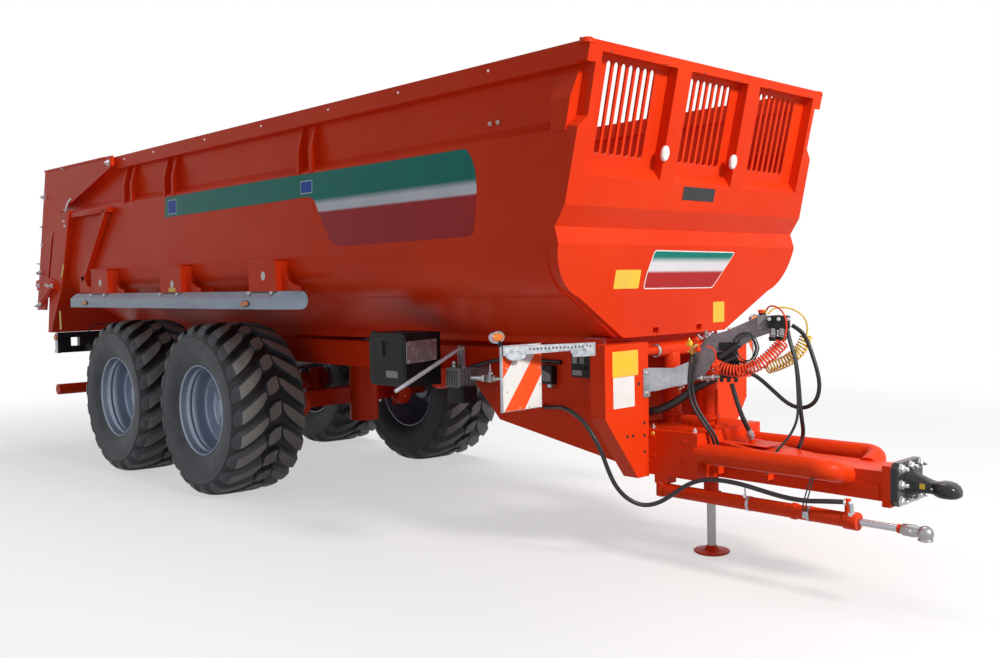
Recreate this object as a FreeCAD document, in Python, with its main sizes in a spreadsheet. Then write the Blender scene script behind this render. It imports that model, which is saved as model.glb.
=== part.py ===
"""A tandem tipping trailer: a welded chassis on two axles, the rear one steered,
with a half-pipe body that tips over its rear hinge. +X points to the hitch, +Y to
the left and +Z up. The origin is on the ground under the middle of the trailer."""

import FreeCAD, Part
import math
import os
import re
import Sketcher

doc = FreeCAD.newDocument("tipping_trailer")
sheet = doc.addObject("Spreadsheet::Sheet", "Sizes")

# Driving dimensions, in millimetres and degrees.
SIZES = {
    # wheels and axles
    "tyre_radius": 645, "tyre_width": 600, "tyre_shoulder": 55, "half_track": 975,
    "front_axle_x": -735, "axle_spacing": 1480,
    "rim_radius": 326, "rim_flange": 337.5, "rim_half_width": 255, "rim_skin": 12,
    "rim_disc_place": 40, "rim_disc_thick": 14, "hub_radius": 120, "hub_inboard": 95, "hub_outboard": 100,
    "drum_radius": 205, "drum_width": 120,
    "spindle_radius": 50, "shaft_clearance": 0.05,
    "axle_beam": 130, "axle_beam_end": 655,
    "kingpin_place": 748, "kingpin_radius": 28, "eye_radius": 50, "eye_half_height": 60,
    "yoke_gap": 1, "yoke_thick": 40, "yoke_web": 45, "steer_arm_reach": 200, "steer_arm_width": 60,
    "tie_rod_radius": 22, "seat_gap": 0.3, "moving_gap": 5,
    # chassis rails
    "rail_outer": 450, "rail_width": 100, "rail_top": 1145, "rail_bottom": 960,
    "rail_rear_x": -3720, "column_rear_x": 2612, "column_front_x": 2715,
    "cross_width": 120, "cross_height": 120,
    "neck_start_x": 1400, "neck_step_x": 1665, "neck_step_z": 700, "neck_low_z": 540,
    "column_inner": 310, "column_outer": 680, "column_bottom": 460, "column_cut_z": 810,
    "column_cut_y": 410, "column_top": 1205,
    # tipping hinge
    "hinge_x": -3685, "hinge_z": 1190, "hinge_pin_radius": 25, "hinge_ear_radius": 40,
    "hinge_ear_thick": 20,
    # springs
    "spring_width": 80, "spring_end": 85, "spring_tip_thick": 30, "spring_crown_low": 850,
    "spring_crown_top": 940,
    # drawbar
    "root_front_x": 3035, "root_rear_x": 2530, "root_half": 310, "root_bottom": 470, "root_top": 722,
    "beam_half": 130, "beam_bottom": 468, "beam_top": 612, "beam_root_top": 665, "beam_slope_run": 445,
    "beam_front_x": 3970, "flange_thick": 41, "flange_half": 140, "flange_above": 30, "flange_below": 25,
    "side_tube_radius": 54, "side_tube_y": 270, "side_tube_z": 615, "side_tube_end": 190, "weld_sink": 20,
    # coupling spoon
    "plate_thick": 36, "plate_above": 46, "plate_below": 19, "spoon_half": 75, "spoon_top": 578,
    "spoon_bottom": 496, "ball_radius": 40.25, "cup_reach": 167, "spoon_neck": 62, "cup_rise": 4,
    # parking jack
    "jack_x": 2910, "jack_tube_radius": 42, "jack_leg_radius": 25, "jack_tube_low": 330,
    "jack_tube_top": 1020, "jack_foot_radius": 102, "jack_foot_thick": 14, "jack_leg_top": 900,
    "jack_flange": 150, "jack_flange_thick": 14,
    # suspension cylinder
    "ride_x": 2640, "ride_barrel_radius": 58, "ride_barrel_top": 1000, "ride_rod_radius": 38,
    "ride_head_z": 1145, "ride_head_radius": 40, "ride_head_half": 135, "ride_pin_radius": 25,
    # forced steering cylinder under the drawbar
    "ram_y": -290, "ram_z": 392, "ram_rear_x": 2760, "ram_gland_back": 40, "ram_radius": 36,
    "ram_rod_radius": 17, "ram_cup_ahead": 28, "ram_cup_radius": 40, "ram_ball_radius": 25.1, "ram_bore": 26,
    "ram_port_back": 48, "ram_port_radius": 15, "ram_port_rise": 104,
    # load body
    "floor_z": 1235, "floor_half": 485, "belly_y": 900, "belly_z": 1465, "side_y": 1115, "side_z": 1760,
    "corner_radius": 300, "ledge_y": 1100, "ledge_z": 2290, "upper_y": 1040, "upper_z": 2345,
    "rim_low_z": 2590, "body_top": 2692, "rim_box_width": 100, "skin": 8,
    "front_bottom_x": 2685, "front_top_x": 3012, "front_thick": 70,
    "rear_bottom_x": -4110, "rear_top_x": -3600, "top_rim_rear_x": -2470,
    "bearer_low": 1150, "bearer_front_x": 2450, "bearer_tip_thick": 40,
    # front wall grille
    "grille_half": 1000, "grille_low": 2125, "grille_sill": 2070, "grille_high": 2645, "grille_back": 10,
    "mullion_y": 333, "mullion_half": 62,
    "slot_pitch": 58, "slot_width": 38, "slot_low": 2172, "slot_high": 2616,
    "belt_foot": 1735, "belt_low": 1812, "belt_high": 1925, "belt_depth": 42, "lift_hole_y": 208,
    "lift_hole_z": 1265, "lift_hole_radius": 17, "lift_hole_reach": 26,
    # side posts, rear frame, fender
    "post_one_x": 540, "post_two_x": -1405, "post_three_x": -2165, "post_pair_gap": 150, "post_thick": 32,
    "post_bulge": 1108, "front_post_width": 95,
    "frame_out": 1178, "frame_top_z": 2285, "frame_low_z": 1200, "sill_front_x": -3805,
    "frame_head_front_x": -3255, "frame_head_rear_x": -3585, "frame_knee_x": -3785, "frame_knee_z": 1710,
    "frame_heel_x": -3895, "frame_step_z": 1300, "frame_waist_x": -3515, "frame_waist_z": 1570,
    "fender_out": 1250, "fender_low": 1400, "fender_high": 1520, "fender_sheet": 6, "fender_rear_x": -3115,
    "fender_front_x": 335, "fender_nose_x": 640, "fender_nose_y": 1120, "fender_inner": 1120,
    "bracket_length": 350, "bracket_high": 1730, "bracket_one_x": -15, "bracket_two_x": -1375,
    "bracket_three_x": -2735, "bracket_out": 1205,
    # tailgate
    "gate_pivot_x": -2402, "gate_pivot_drop": 52, "gate_pin_radius": 22, "cheek_in": 1122,
    "cheek_thick": 14, "gate_rise": 23, "gate_thick": 60, "gate_seal": 5, "gate_rear_top_x": -3925,
    "gate_rear_low_x": -4290, "gate_rear_low_z": 1364, "cheek_width": 225, "cheek_knee_x": -3835,
    "cheek_knee_z": 2040, "cheek_heel_x": -3635,
    # telescopic tipping cylinder
    "lift_x": -375, "lift_pivot_z": 1000, "lift_low": 480, "lift_top": 1085, "lift_radius": 112,
    "lift_step": 17, "lift_wall": 12, "lift_rise": 8, "lift_head_z": 1150, "lift_trunnion_radius": 30,
    "lift_ball_radius": 34,
    # rear lights and underrun bar
    "lamp_bar_x": -3515, "lamp_bar_thick": 60, "lamp_bar_half": 1250, "lamp_bar_low": 970,
    "lamp_bar_high": 1160, "lamp_window": 80, "lamp_window_y": 1090, "lamp_window_z": 1070,
    "lamp_depth": 38, "lamp_half": 48,
    "underrun_x": -3560, "underrun_z": 620, "underrun_radius": 50, "underrun_half": 1230,
    # toolbox and fittings on the right rail
    "toolbox_rear_x": 1063, "toolbox_length": 366, "toolbox_out": 1000, "toolbox_depth": 280,
    "toolbox_low": 930, "toolbox_high": 1255, "toolbox_wall": 6, "toolbox_door": 20,
    "pump_x": 1500, "pump_length": 141, "pump_out": 740, "pump_depth": 150, "pump_low": 824, "pump_waist": 918,
    "pump_high": 1035, "pump_overhang": 12, "pump_pivot_x": 1618, "pump_pivot_z": 1160, "lever_radius": 13,
    "lever_tip_out": 1140, "lever_tip_z": 923,
    # marker boards
    "marker_x": 2445, "marker_out": 1190, "marker_wide": 305, "marker_low": 880, "marker_high": 1225,
    "marker_thick": 4, "marker_arm_low": 1150, "marker_arm_high": 1220, "marker_arm_run": 205,
    "marker_lamp": 60,
    # hose holder on the right column
    "holder_turn": 26.57, "holder_thick": 8, "holder_foot_low": 900, "holder_foot_high": 1060,
    "holder_foot_wide": 50,
}
for row, (alias, value) in enumerate(SIZES.items(), start=1):
    sheet.set(f"A{row}", alias)
    sheet.set(f"B{row}", str(value))
    sheet.setAlias(f"B{row}", alias)
doc.recompute()

NODES = []


def bound(text):
    """The expression with every size's name pointing at the sheet."""
    return re.sub(r"\b([a-z]\w*)\b(?!\()", r"Sizes.\1", str(text))


def size(text):
    """The present value of an expression in the sheet's sizes."""
    return float(sheet.evalExpression(str(text)))


def block(name, x, y, z):
    """A box between two corners; each side is a pair of expressions, low then high."""
    box = doc.addObject("Part::Box", name)
    for side, axis, (low, high) in zip(("Length", "Width", "Height"), "xyz", (x, y, z)):
        box.setExpression(side, bound(f"({high}) - ({low})"))
        box.setExpression(f"Placement.Base.{axis}", bound(low))
    return box


TURNS = {"x": FreeCAD.Rotation(FreeCAD.Vector(0, 1, 0), 90),
         "y": FreeCAD.Rotation(FreeCAD.Vector(1, 0, 0), -90),
         "z": FreeCAD.Rotation()}


def rod(name, axis, place, span, radius):
    """A round bar along one axis: place holds its three start coordinates, where the one
    along the axis is ignored, and span its two ends."""
    bar = doc.addObject("Part::Cylinder", name)
    bar.Placement = FreeCAD.Placement(FreeCAD.Vector(), TURNS[axis])
    bar.setExpression("Radius", bound(radius))
    bar.setExpression("Height", bound(f"({span[1]}) - ({span[0]})"))
    for letter, coordinate in zip("xyz", place):
        bar.setExpression(f"Placement.Base.{letter}", bound(span[0] if letter == axis else coordinate))
    return bar


def outline(body, plane, points, offset="0"):
    """A closed sketch on one origin plane. A point is (u, v), or (u, v, radius, side) where
    an arc of that radius starts: side is 1 when it bends to the left of the way it goes."""
    sketch = body.newObject("Sketcher::SketchObject", body.Name + "_outline")
    support = next(f for f in body.Origin.OriginFeatures if f.Role == plane)
    sketch.AttachmentSupport = [(support, "")]
    sketch.MapMode = "FlatFace"
    sketch.setExpression("AttachmentOffset.Base.z", bound(offset))
    corners = [FreeCAD.Vector(size(p[0]), size(p[1]), 0) for p in points]
    starts = []
    for index, point in enumerate(points):
        here, there = corners[index], corners[(index + 1) % len(points)]
        if len(point) == 2:
            sketch.addGeometry(Part.LineSegment(here, there), False)
            starts.append(1)
            continue
        radius, side = size(point[2]), point[3]
        chord = there - here
        across = FreeCAD.Vector(-chord.y, chord.x, 0).normalize() * side
        drop = radius - math.sqrt(radius ** 2 - (chord.Length / 2) ** 2)
        middle = (here + there) * 0.5 - across * drop
        geometry = sketch.addGeometry(Part.Arc(here, middle, there), False)
        starts.append(1 if sketch.getPoint(geometry, 1).distanceToPoint(here) < 1e-6 else 2)
    for index in range(len(points)):
        following = (index + 1) % len(points)
        sketch.addConstraint(Sketcher.Constraint(
            "Coincident", index, 3 - starts[index], following, starts[following]))
    for index, point in enumerate(points):
        for kind, text in (("DistanceX", point[0]), ("DistanceY", point[1])):
            number = sketch.addConstraint(Sketcher.Constraint(
                kind, -1, 1, index, starts[index], size(text)))
            sketch.setExpression(f"Constraints[{number}]", bound(text))
        if len(point) == 4:
            number = sketch.addConstraint(Sketcher.Constraint("Radius", index, size(point[2])))
            sketch.setExpression(f"Constraints[{number}]", bound(point[2]))
    return sketch


def plate(name, plane, points, span):
    """A sketched outline padded between two places along the plane's axis."""
    body = doc.addObject("PartDesign::Body", name)
    start = f"-({span[1]})" if plane == "XZ_Plane" else span[0]
    sketch = outline(body, plane, points, start)
    pad = body.newObject("PartDesign::Pad", name + "_pad")
    pad.Profile = sketch
    pad.setExpression("Length", bound(f"({span[1]}) - ({span[0]})"))
    sketch.Visibility = False
    return body


def turned(name, points, place):
    """A sketched profile, across by radius, revolved about a line along Y through place."""
    body = doc.addObject("PartDesign::Body", name)
    sketch = outline(body, "YZ_Plane", points)
    revolution = body.newObject("PartDesign::Revolution", name + "_turn")
    revolution.Profile = sketch
    revolution.ReferenceAxis = (sketch, ["H_Axis"])
    revolution.Angle = 360
    for letter, coordinate in zip("xyz", place):
        body.setExpression(f"Placement.Base.{letter}", bound(coordinate))
    return body


def fuse(name, *pieces):
    joined = doc.addObject("Part::MultiFuse", name)
    joined.Shapes = list(pieces)
    joined.Refine = True
    return joined


def cut(name, base, tool):
    result = doc.addObject("Part::Cut", name)
    result.Base = base
    result.Tool = tool
    result.Refine = True
    return result


def common(name, *pieces):
    result = doc.addObject("Part::MultiCommon", name)
    result.Shapes = list(pieces)
    return result


def copy_left(name, source):
    """The same piece on the other side of the trailer."""
    twin = doc.addObject("Part::Mirroring", name)
    twin.Source = source
    twin.Normal = (0, 1, 0)
    return twin


def node(name, piece):
    """Makes the object one of the trailer's named pieces."""
    piece.Label = name
    NODES.append((name, piece))
    return piece


def pair(name, piece):
    """A piece of the right side and its twin on the left, each a node of its own."""
    node(name + "_right", piece)
    node(name + "_left", copy_left(name + "_left_copy", piece))


def group(name, pieces):
    """Pieces that stand apart and share a node."""
    compound = doc.addObject("Part::Compound", name)
    compound.Links = pieces
    return compound


def both(name, piece):
    """A piece of the right side and its twin on the left, sharing one node."""
    node(name, group(name + "_pair", [piece, copy_left(name + "_twin", piece)]))


def tilted(piece):
    """Leans a piece made upright at the front wall's foot to the wall's slope."""
    piece.Placement = FreeCAD.Placement(
        FreeCAD.Vector(), FreeCAD.Rotation(FreeCAD.Vector(0, 1, 0), size(FRONT_LEAN)))
    piece.setExpression("Placement.Base.x", bound("front_bottom_x"))
    piece.setExpression("Placement.Base.z", bound("floor_z"))
    piece.setExpression("Placement.Rotation.Angle", bound(FRONT_LEAN))
    return piece


REAR_AXLE = "(front_axle_x - axle_spacing)"
RAIL_INNER = "(rail_outer - rail_width)"
FRONT_LEAN = "atan((front_top_x - front_bottom_x) / (body_top - floor_z))"
FRONT_COS = f"cos({FRONT_LEAN})"
# the rear opening's slope, as rearward run per unit of height lost
REAR_SLOPE = "((rear_top_x - rear_bottom_x) / (body_top - floor_z))"


# ---------------------------------------------------------------- wheels and axles
def wheel(corner, axle_x, side):
    """A tyre on its rim; side is -1 on the right. Across the profile, outboard is side."""
    place = (axle_x, f"{side} * half_track", "tyre_radius")
    tyre_points = [
        ("-rim_half_width", "rim_radius"), ("-rim_half_width", "rim_flange + 2"),
        ("-tyre_width / 2", "(rim_radius + tyre_radius) / 2"),
        ("-tyre_width / 2", "(rim_radius + 2 * tyre_radius) / 3"),
        ("-tyre_width / 2 + tyre_shoulder", "tyre_radius"),
        ("tyre_width / 2 - tyre_shoulder", "tyre_radius"),
        ("tyre_width / 2", "(rim_radius + 2 * tyre_radius) / 3"),
        ("tyre_width / 2", "(rim_radius + tyre_radius) / 2"),
        ("rim_half_width", "rim_flange + 2"), ("rim_half_width", "rim_radius"),
    ]
    node("tyre_" + corner, turned("tyre_" + corner, tyre_points, place))
    bore = "spindle_radius + shaft_clearance"
    drum_in = "(rim_disc_place - drum_width)"
    rim_points = [
        (f"{side} * (hub_outboard - 14)", bore), (f"{side} * (hub_outboard - 14)", "0"),
        (f"{side} * hub_outboard", "0"), (f"{side} * hub_outboard", "hub_radius - 20"),
        (f"{side} * (rim_disc_place + rim_disc_thick)", "hub_radius"),
        (f"{side} * (rim_disc_place + rim_disc_thick)", "rim_radius - rim_skin"),
        (f"{side} * (rim_half_width + 8)", "rim_radius - rim_skin"),
        (f"{side} * (rim_half_width + 8)", "rim_flange"),
        (f"{side} * rim_half_width", "rim_flange"),
        (f"{side} * rim_half_width", "rim_radius"), (f"-{side} * rim_half_width", "rim_radius"),
        (f"-{side} * rim_half_width", "rim_flange"),
        (f"-{side} * (rim_half_width + 8)", "rim_flange"),
        (f"-{side} * (rim_half_width + 8)", "rim_radius - rim_skin"),
        (f"{side} * rim_disc_place", "rim_radius - rim_skin"),
        (f"{side} * rim_disc_place", "drum_radius"), (f"{side} * {drum_in}", "drum_radius"),
        (f"{side} * {drum_in}", "drum_radius - 15"),
        (f"{side} * (rim_disc_place - 15)", "drum_radius - 15"),
        (f"{side} * (rim_disc_place - 15)", "hub_radius - 30"),
        (f"-{side} * hub_inboard", "hub_radius - 30"), (f"-{side} * hub_inboard", bore),
    ]
    node("rim_" + corner, turned("rim_" + corner, rim_points, place))


for side_name, side_sign in (("right", -1), ("left", 1)):
    wheel("front_" + side_name, "front_axle_x", side_sign)
    wheel("rear_" + side_name, REAR_AXLE, side_sign)

SPINDLE_END = "(half_track + hub_outboard - 22)"
beam_low, beam_high = "tyre_radius - axle_beam / 2", "tyre_radius + axle_beam / 2"
front_beam = block("front_beam", ("front_axle_x - axle_beam / 2", "front_axle_x + axle_beam / 2"),
                   ("-axle_beam_end", "axle_beam_end"), (beam_low, beam_high))
front_spindle = rod("front_spindle", "y", ("front_axle_x", "0", "tyre_radius"),
                    (f"-{SPINDLE_END}", SPINDLE_END), "spindle_radius")
shoulder_end = "half_track - hub_inboard - moving_gap"
front_shoulder = rod("front_shoulder", "y", ("front_axle_x", "0", "tyre_radius"),
                     (f"-({shoulder_end})", shoulder_end), "axle_beam / 2 - moving_gap")
node("axle_front", fuse("axle_front", front_beam, front_spindle, front_shoulder))

rear_beam = block("rear_beam", (f"{REAR_AXLE} - axle_beam / 2", f"{REAR_AXLE} + axle_beam / 2"),
                  ("-axle_beam_end", "axle_beam_end"), (beam_low, beam_high))
rear_parts = [rear_beam]
for side_sign in (-1, 1):
    tag = "r" if side_sign < 0 else "l"
    eye_span = ("tyre_radius - eye_half_height", "tyre_radius + eye_half_height")
    neck = sorted((f"{side_sign} * axle_beam_end", f"{side_sign} * kingpin_place"), key=size)
    rear_parts.append(block("eye_neck_" + tag, (f"{REAR_AXLE} - 40", f"{REAR_AXLE} + 40"), neck, eye_span))
    rear_parts.append(rod("eye_" + tag, "z", (REAR_AXLE, f"{side_sign} * kingpin_place", "0"),
                          eye_span, "eye_radius"))
rear_solid = fuse("rear_axle_solid", *rear_parts)
kingpin_bores = fuse("kingpin_bores", *[
    rod(f"kingpin_bore_{tag}", "z", (REAR_AXLE, f"{side_sign} * kingpin_place", "0"),
        ("tyre_radius - 100", "tyre_radius + 100"), "kingpin_radius + shaft_clearance")
    for tag, side_sign in (("r", -1), ("l", 1))])
node("axle_rear", cut("axle_rear", rear_solid, kingpin_bores))


def knuckle(name, side):
    """The forked stub axle that turns on the kingpin and carries a rear wheel."""
    pin_y = f"{side} * kingpin_place"
    out_of_eye = "(eye_half_height + yoke_gap)"
    fork_top = f"(tyre_radius + {out_of_eye} + yoke_thick)"
    fork_low = f"(tyre_radius - {out_of_eye} - yoke_thick)"
    web_in = f"{side} * (kingpin_place + eye_radius + moving_gap)"
    web_out = f"{side} * (kingpin_place + eye_radius + moving_gap + yoke_web)"
    web = block(name + "_web", (f"{REAR_AXLE} - 50", f"{REAR_AXLE} + 50"),
                sorted((web_in, web_out), key=size), (fork_low, fork_top))
    pieces = [web, rod(name + "_pin", "z", (REAR_AXLE, pin_y, "0"), (fork_low, fork_top), "kingpin_radius")]
    for end, low, high in (("top", f"{fork_top} - yoke_thick", fork_top),
                           ("low", fork_low, f"{fork_low} + yoke_thick")):
        pieces.append(rod(f"{name}_{end}_ring", "z", (REAR_AXLE, pin_y, "0"), (low, high), "eye_radius"))
        pieces.append(block(f"{name}_{end}_jaw", (f"{REAR_AXLE} - 50", f"{REAR_AXLE} + 50"),
                            sorted((pin_y, web_out), key=size), (low, high)))
    arm_span = sorted((f"{pin_y} - steer_arm_width / 2", f"{pin_y} + steer_arm_width / 2"), key=size)
    pieces.append(block(name + "_arm", (f"{REAR_AXLE} - steer_arm_reach - 40", REAR_AXLE), arm_span,
                        (fork_low, f"{fork_low} + yoke_thick")))
    spindle_span = sorted((web_in, f"{side} * {SPINDLE_END}"), key=size)
    pieces.append(rod(name + "_spindle", "y", (REAR_AXLE, "0", "tyre_radius"), spindle_span, "spindle_radius"))
    return fuse(name, *pieces)


node("knuckle_right", knuckle("knuckle_right", -1))
node("knuckle_left", knuckle("knuckle_left", 1))
ARM_LOW = "(tyre_radius - eye_half_height - yoke_gap - yoke_thick)"
tie_end = "(kingpin_place + 25)"
tie_z = f"({ARM_LOW} - seat_gap - tie_rod_radius)"
tie_bar = rod("tie_bar", "y", (f"{REAR_AXLE} - steer_arm_reach", "0", tie_z),
              (f"-{tie_end}", tie_end), "tie_rod_radius")
tie_lugs = [rod(f"tie_lug_{tag}", "z", (f"{REAR_AXLE} - steer_arm_reach", f"{side_sign} * kingpin_place", "0"),
                (f"{tie_z} - tie_rod_radius - 6", f"{tie_z} + tie_rod_radius"), "tie_rod_radius + 10")
            for tag, side_sign in (("r", -1), ("l", 1))]
node("tie_rod", fuse("tie_rod", tie_bar, *tie_lugs))

spring_reach = "(axle_spacing / 2 - spring_end)"
spring_middle = "(front_axle_x - axle_spacing / 2)"
seat_z = "tyre_radius + axle_beam / 2"
low_rise = f"(spring_crown_low - ({seat_z}))"
top_rise = f"(spring_crown_top - ({seat_z}) - spring_tip_thick)"


def bow(rise):
    """The radius of an arc over the spring's free length with this rise."""
    return f"(({spring_reach} * {spring_reach} + {rise} * {rise}) / (2 * {rise}))"


spring_points = [
    (f"{spring_middle} - axle_spacing / 2 - spring_end", seat_z),
    (f"{spring_middle} - {spring_reach}", seat_z, bow(low_rise), -1),
    (f"{spring_middle} + {spring_reach}", seat_z),
    (f"{spring_middle} + axle_spacing / 2 + spring_end", seat_z),
    (f"{spring_middle} + axle_spacing / 2 + spring_end", f"{seat_z} + spring_tip_thick"),
    (f"{spring_middle} + {spring_reach}", f"{seat_z} + spring_tip_thick", bow(top_rise), 1),
    (f"{spring_middle} - {spring_reach}", f"{seat_z} + spring_tip_thick"),
    (f"{spring_middle} - axle_spacing / 2 - spring_end", f"{seat_z} + spring_tip_thick"),
]
RAIL_MIDDLE = "(rail_outer - rail_width / 2)"
both("leaf_springs", plate("leaf_spring", "XZ_Plane", spring_points,
                          (f"-{RAIL_MIDDLE} - spring_width / 2", f"-{RAIL_MIDDLE} + spring_width / 2")))

# ---------------------------------------------------------------- chassis
rail = block("rail", ("rail_rear_x", "column_rear_x"), ("-rail_outer", f"-{RAIL_INNER}"),
             ("rail_bottom", "rail_top"))
neck_points = [("neck_start_x", "rail_bottom"), ("neck_step_x", "neck_step_z"),
               ("column_rear_x", "neck_low_z"), ("column_rear_x", "rail_bottom")]
neck_web = plate("neck_web", "XZ_Plane", neck_points, ("-rail_outer", f"-{RAIL_INNER}"))
spring_saddle = block("spring_saddle", (f"{spring_middle} - 150", f"{spring_middle} + 150"),
                      ("-rail_outer", f"-{RAIL_INNER}"), ("spring_crown_top", "rail_bottom"))
bearer_in, bearer_out = f"-{RAIL_INNER} + moving_gap", "-rail_outer - moving_gap"


def hinge_ear(name, low, high):
    ring = rod(name + "_ring", "y", ("hinge_x", "0", "hinge_z"), (low, high), "hinge_ear_radius")
    foot = block(name + "_foot", ("hinge_x - hinge_ear_radius + 5", "hinge_x + hinge_ear_radius + 60"),
                 (low, high), ("rail_bottom + 60", "hinge_z - 20"))
    return fuse(name, ring, foot)


ear_out = hinge_ear("ear_out", f"{bearer_out} - hinge_ear_thick", bearer_out)
ear_in = hinge_ear("ear_in", bearer_in, f"{bearer_in} + hinge_ear_thick")
# short packing blocks tie the ears, which stand off the rail by the running gap, to it
ear_blocks = block("ear_blocks", ("hinge_x - 30", "hinge_x + hinge_ear_radius + 60"),
                   (f"{bearer_out} - hinge_ear_thick", f"{bearer_in} + hinge_ear_thick"),
                   ("rail_bottom + 60", "rail_top - 10"))
hinge_pin = rod("hinge_pin", "y", ("hinge_x", "0", "hinge_z"),
                (f"{bearer_out} - hinge_ear_thick - 12", f"{bearer_in} + hinge_ear_thick + 12"),
                "hinge_pin_radius")
side_frame = fuse("side_frame", rail, neck_web, spring_saddle, ear_out, ear_in, ear_blocks, hinge_pin)
side_frame_left = copy_left("side_frame_left", side_frame)
crosses = []
for number, middle in enumerate(("lamp_bar_x", "front_axle_x - axle_spacing / 2", "lift_x - 260",
                                 "lift_x + 260", "neck_start_x")):
    crosses.append(block(f"cross_{number}", (f"{middle} - cross_width / 2", f"{middle} + cross_width / 2"),
                         (f"-{RAIL_INNER}", RAIL_INNER),
                         ("rail_top - 25 - cross_height", "rail_top - 25")))
toolbox_arms = [block(f"toolbox_arm_{number}", (f"{start}", f"{start} + 50"),
                      ("-toolbox_out + toolbox_depth", "-rail_outer"),
                      ("toolbox_low + 90", "toolbox_low + 150"))
                for number, start in enumerate(("toolbox_rear_x + 40", "toolbox_rear_x + toolbox_length - 90"))]
cradle_bar = block("cradle_bar", ("lift_x - 200", "lift_x + 200"),
                   (f"-{RAIL_INNER}", "-lift_radius - moving_gap"), ("lift_pivot_z - 45", "lift_pivot_z + 45"))
cradle_bore = rod("cradle_bore", "y", ("lift_x", "0", "lift_pivot_z"), (f"-{RAIL_INNER}", "-lift_radius"),
                  "lift_trunnion_radius + shaft_clearance")
cradle_right = cut("cradle_right", cradle_bar, cradle_bore)
hose_start = block("hose_start", ("2040", "2075"), ("-495", "-rail_outer"), ("797", "828"))
node("chassis_frame", fuse("chassis_frame", side_frame, side_frame_left, *crosses, *toolbox_arms,
                           cradle_right, copy_left("cradle_left", cradle_right), hose_start))

column_points = [("-column_inner", "column_bottom"), ("-column_cut_y", "column_bottom"),
                 ("-column_outer", "column_cut_z"), ("-column_outer", "column_top"),
                 ("-column_inner", "column_top")]
both("front_columns", plate("front_column", "YZ_Plane", column_points, ("column_rear_x", "column_front_x")))

# ---------------------------------------------------------------- drawbar and coupling
root_box = block("root_box", ("root_rear_x", "root_front_x"), ("-root_half", "root_half"),
                 ("root_bottom", "root_top"))
main_beam = plate("main_beam", "XZ_Plane", [
    ("root_front_x", "beam_bottom"), ("beam_front_x", "beam_bottom"), ("beam_front_x", "beam_top"),
    ("root_front_x + beam_slope_run", "beam_top"), ("root_front_x", "beam_root_top")],
    ("-beam_half", "beam_half"))
PLATE_REAR = "(beam_front_x + flange_thick)"
PLATE_FRONT = f"({PLATE_REAR} + plate_thick)"
beam_flange = block("beam_flange", ("beam_front_x", PLATE_REAR), ("-flange_half", "flange_half"),
                    ("beam_bottom - flange_below", "beam_top + flange_above"))


def pipe_path(points):
    """Straight runs through the points, joined by tangent arcs as large as the runs allow."""
    edges, start, radii = [], points[0], []
    for index in range(1, len(points) - 1):
        before, corner, after = points[index - 1:index + 2]
        back, ahead = (before - corner), (after - corner)
        turn = math.pi - back.getAngle(ahead)
        reach = 0.45 * min(back.Length, ahead.Length)
        radii.append(reach / math.tan(turn / 2))
        back.normalize()
        ahead.normalize()
        arc_start, arc_end = corner + back * reach, corner + ahead * reach
        inward = (back + ahead).normalize()
        to_centre = math.hypot(reach, radii[-1])
        middle = corner + inward * (to_centre - radii[-1])
        edges.append(Part.LineSegment(start, arc_start).toShape())
        edges.append(Part.Arc(arc_start, middle, arc_end).toShape())
        start = arc_end
    edges.append(Part.LineSegment(start, points[-1]).toShape())
    return Part.Wire(edges), radii


def pipe(name, points, radius):
    """A round bar or hose of one radius along a path, as a plain solid."""
    vectors = [FreeCAD.Vector(*p) for p in points]
    path, radii = pipe_path(vectors)
    tangent = vectors[1] - vectors[0]
    circle = Part.Wire(Part.makeCircle(radius, vectors[0], tangent))
    tube = path.makePipeShell([circle], True, False)
    expected = math.pi * radius ** 2 * path.Length
    assert abs(tube.Volume / expected - 1) < 0.01, f"{name} has the wrong volume"
    print(f"{name}: length {path.Length:.0f}, smallest bend radius {min(radii):.0f}")
    feature = doc.addObject("Part::Feature", name)
    feature.Shape = tube
    return feature


side_tube = pipe("side_tube", [
    (size("root_front_x - weld_sink"), -size("side_tube_y"), size("side_tube_z")),
    (size("beam_front_x - side_tube_end - 15"), -size("side_tube_y"), size("side_tube_z")),
    (size("beam_front_x - side_tube_end"), -size("beam_half - weld_sink"), size("side_tube_z - 40")),
], size("side_tube_radius"))
side_tube_left = copy_left("side_tube_left", side_tube)
jack_hole = rod("jack_hole", "z", ("jack_x", "0", "0"), ("root_bottom - 1", "root_top + 1"),
                "jack_tube_radius + seat_gap")
# Small blocks and a stub on the drawbar, each at the end of one hose's route.
hose_ends = [
    block("pair_end", ("root_front_x", "root_front_x + 62"), ("-205", "-155"), ("500", "540")),
    block("thin_end", ("3345", "3385"), ("-185", "-beam_half"), ("500", "530")),
    block("thick_end", ("3310", "3350"), ("beam_half", "190"), ("500", "529")),
    block("bundle_end", ("2541", "2551"), ("-300", "-225"), ("root_top", "860")),
    rod("cross_end", "z", ("3184", "-12", "0"), ("600", "676"), "16"),
]
drawbar_solid = fuse("drawbar_solid", root_box, main_beam, beam_flange, side_tube, side_tube_left, *hose_ends)
node("drawbar", cut("drawbar", drawbar_solid, jack_hole))

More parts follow.
